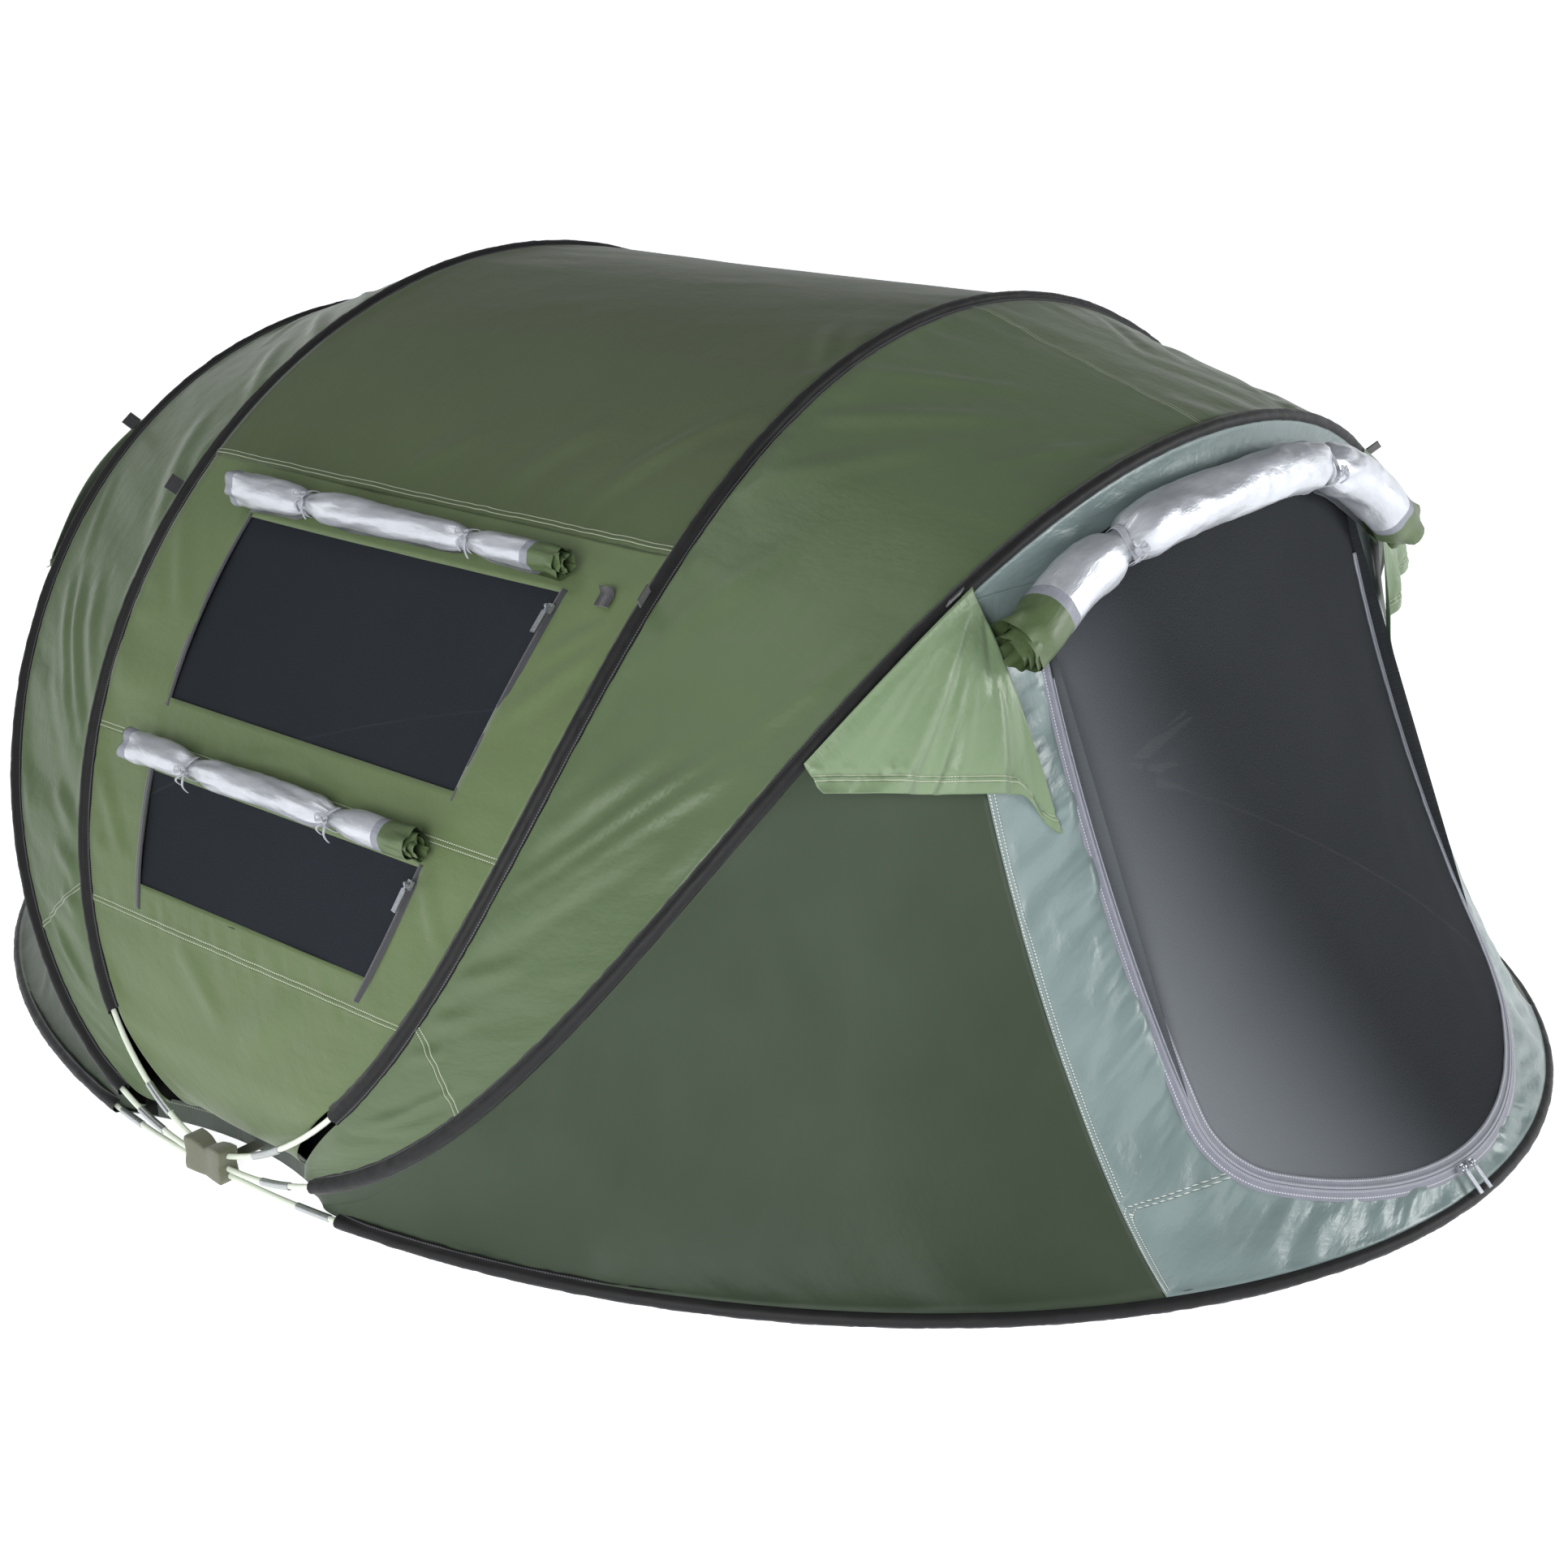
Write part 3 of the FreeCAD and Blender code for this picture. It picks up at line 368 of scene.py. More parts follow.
def sleeve_grid(loop, end, toward_a, toward_b, seed):
    """Rings round a rod: a round back and front with a flat sewn edge towards each cloth."""
    start = SLEEVE_START[loop]
    turn = np.linspace(start, 180 - start, 640)
    centre, along = loop_point(loop, end, turn), loop_direction(loop, end, turn)
    a, b = toward_a(turn) - centre, toward_b(turn) - centre
    a = unit(a - along * (a * along).sum(-1)[:, None])
    b = unit(b - along * (b * along).sum(-1)[:, None])
    out = unit(-(a + b) * 0.5 + unit(centre * (1, 1, 0.6)) * 0.8)
    second = np.cross(along, a)
    angle = np.arctan2((b * second).sum(-1), (b * a).sum(-1)) % (2 * np.pi)
    half = np.arctan2((out * second).sum(-1), (out * a).sum(-1)) % (2 * np.pi)
    sweep = np.where(half < angle, 1.0, -1.0)      # the front arc goes round the outer side
    front = np.where(half < angle, angle, 2 * np.pi - angle)
    metres = lengths(centre[:, None], 0)[:, 0]
    edge = 0.30
    rings, flat = [], []
    steps = [(0.0, 0.0)] + [(0.5, -1)] + [(1, s) for s in np.linspace(0, 1, 9)] + [(0.5, 2)] + [(0.0, 1.0)]
    steps += [(0.5, 3)] + [(2, s) for s in np.linspace(0, 1, 9)] + [(0.5, 4)]
    for kind, share in steps:
        if kind == 0:
            theta = front * share
            size = 0.0142 + 0.0008 * crumple(metres / 0.012, 0 * metres + 9 * share, seed)
            rib = 1.0
        elif kind == 0.5:
            near = edge * 0.55
            theta = {-1: near, 2: front - near, 3: front + near, 4: 2 * np.pi - near}[share]
            size = 0.0112 + 0 * metres
            rib = 0.6
        else:
            low, high = (edge, front - edge) if kind == 1 else (front + edge, 2 * np.pi - edge)
            theta = low + (high - low) * share
            size = 0.0092 + 0.0006 * crumple(metres / 0.020, theta * 1.6, seed + 1)
            size = size + 0.0004 * crumple(metres / 0.006, theta * 2.5, seed + 2)
            rib = 0.0
        theta = theta * sweep
        rings.append(centre + (a * np.cos(theta)[:, None] + second * np.sin(theta)[:, None]) * size[:, None])
        flat.append(np.full(len(turn), rib))
    rings.append(rings[0])
    flat.append(flat[0])
    grid = np.stack(rings, 1)
    grid[..., 2] = np.maximum(grid[..., 2], 0.0003)
    around = lengths(grid, 1)
    maps = {"Cloth": np.stack([np.broadcast_to(metres[:, None], around.shape), around], -1),
            "Seams": np.stack([np.stack(flat, 1), np.stack(flat, 1)], -1)}
    if sweep[len(sweep) // 2] > 0:
        grid, maps = grid[::-1], {key: value[::-1] for key, value in maps.items()}
    return grid, maps


def beside(surface, share):
    return lambda turn: cloth_point(surface, turn, share)


def rod_floor(end):
    return lambda turn: loop_point("ground", end, turn) * (0.97, 0.97, 0.3)


binding, spot, shader = new_finish("dark_binding", {"Sheen Weight": 0.12, "Sheen Roughness": 0.4,
                                                    "Specular IOR Level": 0.3})
cloth_map = spot.add("ShaderNodeUVMap", {"uv_map": "Cloth"})
seam_map = spot.add("ShaderNodeUVMap", {"uv_map": "Seams"})
rib = (cloth_map.axis(0) * 2100).sin() * (cloth_map.axis(1) * 2100).sin()
crush = cloth_map.scaled(60, 25).noise(1, 3, 0.6)
dash = (cloth_map.axis(0) * 1570).sin() > -0.35
thread = dash * (abs(seam_map.axis(0) - 0.62) < 0.10)
shade = crush.tint(rgb(9, 9, 10), rgb(24, 24, 26))
connect(spot, shader, Base_Color=thread.tint(shade, rgb(84, 84, 88)), Roughness=0.5 + crush * 0.2,
        Normal=rib.bumps(0.25, 0.0003, crush.bumps(0.5, 0.0012)))

SLEEVE_SIDES = {
    "ground": lambda end: (beside(end + "_wall", 0.98), rod_floor(end)),
    "door": lambda end: (beside(end + "_wedge", 0.98), beside(end + "_wall", 0.02)),
    "main": lambda end: (beside("main", 0.98 if end == "front" else 0.02), beside(end + "_wedge", 0.02)),
}
for number, loop_name in enumerate(LOOPS):
    grids, maps = zip(*[sleeve_grid(loop_name, end, *SLEEVE_SIDES[loop_name](end), 10 * number + place)
                        for place, end in enumerate(ENDS)])
    sleeve = woven_mesh(loop_name + "_sleeve_cloth", grids, maps, closed=True)
    sleeve.data.materials.append(binding)
    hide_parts(loop_name + "_loop_sleeves")
    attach(sleeve, "root")
    run = sum(float(lengths(grid[:, 0][:, None], 0)[-1, 0]) for grid in grids)

# ---------------------------------------------------------------- hub blocks and straps
# At each side all six rod halves run through a block of olive webbing, folded over and sewn.
# A flat strap ties it to the floor's edge.
webbing, spot, shader = new_finish("olive_webbing", {"Sheen Weight": 0.3})
ribs = (spot.axis(2) * 2600).sin()
warp = (spot.axis(1) * 1900).sin()
fuzz = spot.noise(90, 4, 0.7)
soil = spot.noise(22, 3)
connect(spot, shader, Base_Color=(soil * 0.7 + fuzz * 0.3).tint(rgb(74, 75, 58), rgb(112, 114, 92)),
        Roughness=0.7 + fuzz * 0.2,
        Normal=(ribs * warp).bumps(0.5, 0.0006, fuzz.bumps(0.4, 0.001)))
for side, sign in SIDES.items():
    bpy.ops.object.select_all(action="DESELECT")
    bpy.ops.mesh.primitive_cube_add(size=1, location=(sign * HUB_SPAN, 0, 0.026))
    hub = bpy.context.object
    hub.name = "hub_webbing_" + side
    bpy.ops.transform.resize(value=(0.034, 0.080, 0.052))
    bpy.ops.object.transform_apply(location=True, rotation=True, scale=True)
    bpy.ops.object.mode_set(mode="EDIT")
    bpy.ops.mesh.select_all(action="SELECT")
    bpy.ops.mesh.subdivide(number_cuts=5)
    bpy.ops.object.mode_set(mode="OBJECT")
    for vertex in hub.data.vertices:      # folded layers: a notch over the fold, swollen ends
        y, z = vertex.co.y / 0.040, vertex.co.z / 0.052
        vertex.co.x = sign * HUB_SPAN + (vertex.co.x - sign * HUB_SPAN) * (0.72 + 0.28 * abs(y) ** 0.7)
        vertex.co.z -= 0.009 * max(0.0, z - 0.5) * 2 * (1 - min(1.0, abs(y) * 2.2))
        vertex.co.y *= 1 + 0.05 * math.sin(z * 9)
    wall = hub.modifiers.new("soft_edges", "BEVEL")
    wall.width, wall.segments, wall.limit_method = 0.003, 3, "ANGLE"
    bpy.ops.object.modifier_apply(modifier="soft_edges")
    bpy.ops.object.shade_smooth_by_angle(angle=0.7)
    hub.data.materials.append(webbing)
    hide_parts("hub_block_" + side)
    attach(hub, "root")
painted("hub_straps", webbing)

# ---------------------------------------------------------------- floor
# The groundsheet is grey polyethylene cloth, and a low strip of it stands up inside the side
# walls, hemmed at the top.
groundsheet, spot, shader = new_finish("groundsheet", {"Coat Weight": 0.15, "Coat Roughness": 0.4})
tape = (spot.axis(0) * 1500).sin() * (spot.axis(1) * 1500).sin()
worn = spot.noise(5, 4, 0.6)
connect(spot, shader, Base_Color=worn.tint(rgb(70, 74, 72), rgb(92, 96, 92)), Roughness=0.5 + worn * 0.2,
        Normal=tape.bumps(0.2, 0.0005, worn.bumps(0.3, 0.004)))
painted("floor_sheet", groundsheet)
strip_finish, spot, shader = new_finish("edge_strip_cloth", {"Sheen Weight": 0.2})
creases = spot.scaled(1, 1, 0.3).noise(45, 4, 0.6)
hem = (abs(spot.axis(2) - 0.029) < 0.0006) * ((spot.axis(1) * 1400).sin() > -0.2)
connect(spot, shader, Base_Color=hem.tint(creases.tint(rgb(44, 52, 46), rgb(66, 76, 66)), rgb(150, 156, 140)),
        Roughness=0.55 + creases * 0.2, Normal=creases.bumps(0.6, 0.003))
painted("floor_edge_strips", strip_finish)

# ---------------------------------------------------------------- roof
# One panel of olive polyester taffeta between the two main arches, pulled tight by them. Its
# side edges are lapped over the side panels and sewn with two rows of pale thread.
CLOTH_THICKNESS = 0.0010


def spaced(stops, pitch):
    """Places from the first stop to the last, through every stop, about a pitch apart."""
    line = [stops[0]]
    for a, b in zip(stops, stops[1:]):
        count = max(1, round(abs(b - a) / pitch))
        line += [a + (b - a) * k / count for k in range(1, count + 1)]
    return np.array(line)


def creased(along, across, pleats, turn):
    """Height of folds that run from one place of a sheet to another."""
    height = np.zeros_like(along)
    middle = along.shape[1] // 2
    order = np.argsort(turn[:, middle])
    for turn_a, share_a, turn_b, share_b, depth, width in pleats:
        start, stop = np.interp((turn_a, turn_b), turn[order, middle], along[order, middle])
        row_width = np.interp((turn_a, turn_b), turn[order, middle], across[order, -1])
        first = np.array([start, share_a * row_width[0]])
        line = np.array([stop, share_b * row_width[1]]) - first
        dx, dy = along - first[0], across - first[1]
        share_on = np.clip((dx * line[0] + dy * line[1]) / (line @ line), 0, 1)
        far = np.hypot(dx - share_on * line[0], dy - share_on * line[1]) / width
        profile = (1 - 1.2 * far * far) * np.exp(-far * far)
        height += depth * profile * np.sin(np.pi * np.clip(share_on, 0.02, 0.98)) ** 0.6
    return height


def turned_over(grid, maps):
    """The same sheet with its columns the other way round, so that its faces look the other way."""
    return grid[:, ::-1], {key: values[:, ::-1] for key, values in maps.items()}


def sheet_grid(surface, turn, share, seed, pucker=1.0, slack=1.0, seams=(), pleats=(), lift=0.0):
    """Points of a sheet between two sleeves, gathered a little where it is sewn to them."""
    flat = cloth_point(surface, turn, share)
    along, across = lengths(flat, 0), lengths(flat, 1)
    from_a, from_b = across, across[:, -1:] - across
    height = np.zeros_like(along)
    for number, gap in enumerate((from_a, from_b)):
        pull = 0.6 + 0.4 * crumple(along / 0.35, 0 * gap, seed + 20 + number)
        height += 0.0032 * pull * np.exp(-gap / 0.05) * crumple(along / 0.026, gap / 0.12, seed + number)
        height += 0.0050 * pull * np.exp(-gap / 0.16) * crumple(along / 0.065, gap / 0.35, seed + 2 + number)
    height = height * pucker + slack * 0.0045 * crumple(along / 0.17, across / 0.42, seed + 5)
    height += slack * 0.0012 * crumple(along / 0.05 + across / 0.11, across / 0.16 - along / 0.3, seed + 6)
    height += creased(along, across, pleats, turn)
    held = ease(np.minimum(from_a, from_b) / 0.03) * ease(across[:, -1:] / 0.10)
    height *= held
    seam = np.full_like(along, 9.0)
    for place in seams:
        here = np.stack([np.interp(place, *((turn[:, j], along[:, j]) if turn[0, j] < turn[-1, j] else
                                            (turn[::-1, j], along[::-1, j]))) for j in range(along.shape[1])])
        gap = along - here
        seam = np.where(abs(gap) < abs(seam), gap, seam)
    lap = np.clip(1 - abs(seam - 0.006) / 0.006, 0, 1)
    height += 0.0012 * lap ** 0.5
    near_seam = ease((0.05 - abs(seam)) / 0.05)
    height += near_seam * 0.0016 * crumple(across / 0.018, along / 0.05, seed + 8) * held
    grid = flat + cloth_normal(surface, turn, share) * (height + lift)[..., None]
    maps = {"Cloth": np.stack([along, across], -1), "Seams": np.stack([seam, np.minimum(from_a, from_b)], -1)}
    return (grid, maps) if SURFACES[surface][3] > 0 else turned_over(grid, maps)


def taffeta(name, dark, light, rough=0.42, sheen=0.25, crease=1.0, gloss=0.4, rows=(0.0028, 0.0095),
            thread=(176, 186, 160)):
    """Coated polyester cloth: fine weave, soft creases, faint uneven dye, and sewn rows beside its seams,
    with painted shade darkening the grooves along the rows.
    """
    material, spot, shader = new_finish(name, {"Sheen Weight": sheen, "Sheen Roughness": 0.5,
                                               "Specular IOR Level": gloss})
    cloth = spot.add("ShaderNodeUVMap", {"uv_map": "Cloth"})
    seams = spot.add("ShaderNodeUVMap", {"uv_map": "Seams"})
    threads = cloth.scaled(900, 2600).noise(1, 1) + cloth.scaled(2600, 900).noise(1, 1)
    dye = spot.noise(2.2, 3, 0.6)
    crush = cloth.scaled(26, 14).noise(1, 4, 0.6)
    fine = cloth.scaled(9, 30).noise(1, 3, 0.55)
    dash = ((cloth.axis(0) + cloth.axis(1)) * 1480).sin() > -0.3
    from_row = abs(abs(seams.axis(0) - sum(rows) / 2) - (rows[1] - rows[0]) / 2)
    sewn, ditch_and_shade = from_row < 0.00085, from_row.smooth(0.0004, 0.0028)
    shade = (dye * 0.7 + threads * 0.15).tint(rgb(*dark), rgb(*light))
    # Painted shade: the colour is multiplied darker in the grooves along the sewn rows.
    shade = spot.add("ShaderNodeMix", {"data_type": "RGBA", "blend_type": "MULTIPLY"},
                     {"Factor": 1.0, 6: shade, 7: ditch_and_shade.tint((0.62, 0.62, 0.62, 1), (1, 1, 1, 1))}, 2)
    creases = (crush + fine * 0.6).bumps(0.35 * crease, 0.004)
    connect(spot, shader, Base_Color=(sewn * dash).tint(shade, rgb(*thread)),
            Roughness=rough + crush * 0.12 + threads * 0.04,
            Normal=(ditch_and_shade + threads * 0.06).bumps(0.5, 0.0009, creases))
    return material


def finish_sheet(piece, material, nodes, body="root"):
    """A sheet gets its cloth and its thickness, takes the place of its CAD nodes and rides on a body."""
    piece.data.materials.append(material)
    wall = piece.modifiers.new("cloth_thickness", "SOLIDIFY")
    wall.thickness, wall.offset = CLOTH_THICKNESS, -1
    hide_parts(*nodes)
    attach(piece, body)


def cut_cloth(piece, maps):
    """Works out the rectangle a sheet is cut from, as long as its longest rows and columns, and its cut area;
    the result is not kept.
    """
    width, length = (sum(float(m["Cloth"][..., k].max()) for m in maps) if k == 0 else
                     max(float(m["Cloth"][..., k].max()) for m in maps) for k in (0, 1))
    cut = sum(face.area for face in piece.data.polygons)
    width, length = round(width + 0.01, 3), round(length + 0.01, 3)
    round(min(max(cut, 0.31 * width * length), width * length), 4)


ROOF_SEAM = 118.8
roof_green = taffeta("roof_cloth", (55, 68, 40), (74, 88, 54), rough=0.46, sheen=0.12)
turns = spaced((180 - ROOF_SEAM - 0.15, 180 - ROOF_SEAM + 0.6, 90, ROOF_SEAM - 0.6, ROOF_SEAM + 0.15), 0.42)
turn, share = np.meshgrid(turns, spaced((-0.003, 0.5, 1.003), 0.011), indexing="ij")
pleats = ((117, 0.80, 108, 0.94, 0.006, 0.022), (117.5, 0.62, 111, 0.72, 0.005, 0.03),
          (117.5, 0.42, 113, 0.52, 0.004, 0.03), (98, 0.90, 104, 0.995, 0.004, 0.02),
          (70, 0.88, 78, 0.97, 0.005, 0.02), (65, 0.4, 72, 0.55, 0.004, 0.03))
grid, maps = sheet_grid("main", turn, share, 31, pucker=0.9, slack=0.7,
                        seams=(ROOF_SEAM - 0.5, 180 - ROOF_SEAM + 0.5), pleats=pleats, lift=0.0012)
roof = woven_mesh("roof_sheet", [grid], [maps])
finish_sheet(roof, roof_green, nodes=["roof_panel"])
cut_cloth(roof, [maps])

# ---------------------------------------------------------------- side panels
# Lighter olive taffeta from the roof seam down to the ground strip, with two windows cut out of
# each. Lapped seams run above the lower window and below it.
WINDOWS = {"upper": (122.6, 135.5), "lower": (140.6, 149.0)}
WINDOW_SHARES = (0.17, 0.86)
PANEL_SEAMS = (138.4, 151.3)
panel_green = taffeta("side_panel_cloth", (74, 91, 55), (96, 112, 74), sheen=0.15, crease=1.3)
panel_turns = spaced((ROOF_SEAM - 0.05, *WINDOWS["upper"], PANEL_SEAMS[0], *WINDOWS["lower"], PANEL_SEAMS[1],
                      158, 180 - FOOT_TURN), 0.40)
for side in SIDES:
    turns = panel_turns if side == "left" else 180 - panel_turns
    shares = spaced((-0.003, WINDOW_SHARES[0], WINDOW_SHARES[1], 1.003), 0.012)
    turn, share = np.meshgrid(turns, shares, indexing="ij")
    pleats = [(125, 0.98, 131, 0.88, 0.006, 0.018), (123.5, 0.97, 127, 0.89, 0.005, 0.016),
              (146, 0.99, 141, 0.88, 0.005, 0.018), (139.8, 0.2, 136.2, 0.55, 0.003, 0.014),
              (137, 0.5, 139.5, 0.8, 0.003, 0.014), (124, 0.03, 130, 0.13, 0.005, 0.02),
              (142, 0.02, 148, 0.12, 0.004, 0.02), (152, 0.3, 158, 0.5, 0.004, 0.03),
              (153, 0.7, 160, 0.6, 0.004, 0.03)]
    if side == "right":
        pleats = [(180 - a, b, 180 - c, d, e, f) for a, b, c, d, e, f in pleats]
    seams = PANEL_SEAMS if side == "left" else [180 - place for place in PANEL_SEAMS]
    grid, maps = sheet_grid("main", turn, share, 41 if side == "left" else 47, pucker=1.1, slack=0.8,
                            seams=seams, pleats=pleats)
    keep = np.ones((len(turns) - 1, len(shares) - 1), bool)
    for top, low in WINDOWS.values():
        rows = (panel_turns[:-1] > top - 0.01) & (panel_turns[1:] < low + 0.01)
        columns = (shares[:-1] > WINDOW_SHARES[0] - 1e-4) & (shares[1:] < WINDOW_SHARES[1] + 1e-4)
        keep &= ~(rows[:, None] & columns[None, :])
    if side == "right":      # the rows run the other way, so the faces are turned to look out
        grid, maps, keep = grid[::-1], {k: v[::-1] for k, v in maps.items()}, keep[::-1]
    panel = woven_mesh("side_sheet_" + side, [grid], [maps], keep=keep)
    finish_sheet(panel, panel_green, nodes=["side_panel_" + side])
    cut_cloth(panel, [maps])

# ---------------------------------------------------------------- window meshes and zips
# Fine black insect mesh is sewn behind each opening. A narrow zip runs down both sides of the
# window for the rolled cover above it, on a dark tape with a row of overlocked thread.
def insect_mesh(name, dark, light, painted_light_side):
    """Fine dark net. Its colour is painted paler towards one lower corner: painted light, for light coming
    through there.
    """
    material, spot, shader = new_finish(name, {"Roughness": 0.85, "Specular IOR Level": 0.03})
    cloth = spot.add("ShaderNodeUVMap", {"uv_map": "Cloth"})
    holes = cloth.noise(620, 2, 0.8)
    grain = cloth.noise(1500, 1)
    stretch = cloth.scaled(1.3, 1.6).noise(1.4, 2)
    speckle = (holes * 1.6 + grain * 0.6 - 0.75) * 0.4 + stretch * 0.15
    # Painted light: this gradient over the Cloth map makes the net's colour paler towards one side.
    painted_daylight = (cloth.axis(0) * painted_light_side[0] - cloth.axis(1) * painted_light_side[1] + painted_light_side[2]).smooth(0.0, 1.0)
    shade = (speckle * 0.45 + painted_daylight * 0.6).tint(rgb(*dark), rgb(*light))
    connect(spot, shader, Base_Color=shade, Alpha=0.97 + grain * 0.04, Normal=holes.bumps(0.35, 0.0006))
    return material


# The window nets' colour is painted paler towards one end: painted light.
window_net = insect_mesh("window_net", (22, 25, 30), (100, 104, 110), (0.9, 0.0, -0.3))
zip_tape, spot, shader = new_finish("zip_tape", {"Sheen Weight": 0.3})
cloth = spot.add("ShaderNodeUVMap", {"uv_map": "Cloth"})
seams = spot.add("ShaderNodeUVMap", {"uv_map": "Seams"})
teeth = ((cloth.axis(0) * 2400).sin() > 0) * (seams.axis(0) < 0.0034)
herring = ((cloth.axis(0) + cloth.axis(1)) * 3600).sin()
sewn = (abs(seams.axis(0) - 0.0105) < 0.0007) * ((cloth.axis(0) * 1480).sin() > -0.3)
rise = seams.axis(0).smooth(0.0034, 0.0026)
lint = cloth.noise(70, 3)
body_shade = teeth.tint(lint.tint(rgb(104, 107, 118), rgb(128, 130, 141)), rgb(158, 160, 170))
connect(spot, shader, Base_Color=sewn.tint(body_shade, rgb(190, 192, 198)), Roughness=0.55 + lint * 0.15,
        Normal=(rise + teeth * 0.6 + herring * 0.08).bumps(0.7, 0.0010))
dark_zip = zip_tape.copy()
dark_zip.name = "window_zip_tape"
for node in dark_zip.node_tree.nodes:
    if node.bl_idname == "ShaderNodeMix":
        for number in (6, 7):
            shade = node.inputs[number].default_value
            node.inputs[number].default_value = tuple(c * 0.13 for c in shade[:3]) + (1,)

for side in SIDES:
    for window, (top, low) in WINDOWS.items():
        turns, shares = np.linspace(top - 0.5, low + 0.5, 30), np.linspace(0.158, 0.872, 50)
        if side == "right":
            turns = (180 - turns)[::-1]
        turn, share = np.meshgrid(turns, shares, indexing="ij")
        flat = cloth_point("main", turn, share)
        along, across = lengths(flat, 0), lengths(flat, 1)
        sag = 0.005 * np.sin(np.pi * along / along.max()) + 0.001 * crumple(along / 0.09, across / 0.12, 61)
        grid = cloth_point("main", turn, share, lift=-0.0022 - sag)
        maps = {"Cloth": np.stack([along, across], -1)}
        net = woven_mesh("window_net_" + window + "_" + side, [grid], [maps])
        net.data.materials.append(window_net)
        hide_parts("window_mesh_" + window + "_" + side)
        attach(net, "root")
        cut_cloth(net, [maps])

grids, zip_maps = [], []
for side in SIDES:
    for (top, low), below in ((WINDOWS["upper"], 0.6), (WINDOWS["lower"], 2.0)):
        for share_at in WINDOW_SHARES:
            turns = np.linspace(top - 0.2, low + below, 90)
            away = 0.010 * np.linspace(-0.25, 1, 6) * (-1 if share_at < 0.5 else 1)
            if side == "right":
                turns = 180 - turns
            far_edge, near_edge = (cloth_point("main", turns, edge) for edge in (0.99, 0.01))
            span = np.linalg.norm(far_edge - near_edge, axis=-1)
            turn, share = np.broadcast_arrays(turns[:, None], share_at + away[None, :] / span[:, None])
            profile = np.array([0.0006, 0.0022, 0.0022, 0.0012, 0.0010, 0.0004])
            grid = cloth_point("main", turn, share, lift=profile[None, :])
            along = lengths(grid, 0)
            width = np.broadcast_to(np.abs(away), along.shape)
            maps = {"Cloth": np.stack([along, width], -1), "Seams": np.stack([width, width], -1)}
            if (side == "right") != (share_at < 0.5):
                grid, maps = turned_over(grid, maps)
            grids.append(grid)
            zip_maps.append(maps)
window_zips = woven_mesh("window_zip_tapes", grids, zip_maps)
finish_sheet(window_zips, dark_zip, nodes=["window_zips"])

# ---------------------------------------------------------------- wedges
# The crescent between each main arch and the door arch in front of it: two panels of the same
# taffeta joined over the ridge, with a short panel sewn on at each foot.
WEDGE_JOINS, RIDGE_JOIN = (29.8, 150.2), 90.5
wedge_green = taffeta("wedge_cloth", (64, 80, 52), (88, 105, 73), rough=0.36, sheen=0.12, crease=1.5)
for end in ENDS:
    surface = end + "_wedge"
    turns = spaced((FOOT_TURN, WEDGE_JOINS[0], 60, 90, 120, WEDGE_JOINS[1], 180 - FOOT_TURN), 0.40)
    turn, share = np.meshgrid(turns, spaced((-0.003, 0.5, 1.003), 0.021), indexing="ij")
    pleats = [(140.0, 0.02, 126.5, 0.86, 0.007, 0.020), (138.2, 0.03, 126.0, 0.72, 0.007, 0.017),
              (141.5, 0.03, 131, 0.78, 0.005, 0.022), (135, 0.04, 125.5, 0.50, 0.004, 0.022),
              (144, 0.03, 141, 0.5, 0.005, 0.02), (147, 0.03, 145.5, 0.45, 0.005, 0.02),
              (150, 0.04, 149, 0.4, 0.004, 0.018), (124, 0.02, 112, 0.42, 0.004, 0.03),
              (106, 0.03, 99, 0.62, 0.006, 0.022), (101, 0.03, 96, 0.55, 0.005, 0.018),
              (112, 0.03, 104, 0.5, 0.004, 0.024), (97, 0.96, 104, 0.7, 0.004, 0.02),
              (152, 0.9, 158, 0.4, 0.005, 0.02), (118, 0.97, 126, 0.75, 0.003, 0.02)]
    pleats += [(180 - a - 1.5, b, 180 - c, d * 0.9, -e, f) for a, b, c, d, e, f in pleats]
    grid, maps = sheet_grid(surface, turn, share, 71 if end == "front" else 77, pucker=1.25, slack=1.0,
                            seams=(WEDGE_JOINS[0], RIDGE_JOIN, WEDGE_JOINS[1]), pleats=pleats)
    wedge = woven_mesh(end + "_wedge_sheet", [grid], [maps])
    finish_sheet(wedge, wedge_green, nodes=[surface])
    cut_cloth(wedge, [maps])

# ---------------------------------------------------------------- side walls
# Darker, plain taffeta from the door arch down to the ground loop, on both sides of each door.
def wall_seam(share):
    return 111.0 + 8.5 * share


wall_green = taffeta("side_wall_cloth", (28, 39, 25), (68, 79, 64), rough=0.42, sheen=0.04, gloss=0.16)
for end in ENDS:
    grids, both_maps = [], []
    for side in SIDES:
        shares = spaced((-0.003, 0.5, 1.003), 0.021)
        portion = np.linspace(0, 1, 150)
        turn = wall_seam(shares)[None, :] + (180 - FOOT_TURN - wall_seam(shares))[None, :] * portion[:, None]
        share = np.broadcast_to(shares[None, :], turn.shape)
        pleats = ((134, 0.05, 131, 0.4, 0.003, 0.03), (123, 0.1, 128, 0.7, 0.003, 0.05),
                  (150, 0.9, 144, 0.4, 0.003, 0.03))
        if side == "right":
            turn, pleats = 180 - turn[::-1], [(180 - a, b, 180 - c, d, e, f) for a, b, c, d, e, f in pleats]
        grid, maps = sheet_grid(end + "_wall", turn, share, 83 + 3 * ENDS[end] + SIDES[side], pucker=0.6,
                                slack=0.5, pleats=pleats)
        grids.append(grid)
        both_maps.append(maps)
    walls = woven_mesh(end + "_side_wall_sheets", grids, both_maps)
    finish_sheet(walls, wall_green, nodes=[end + "_side_walls"])
    cut_cloth(walls, both_maps)

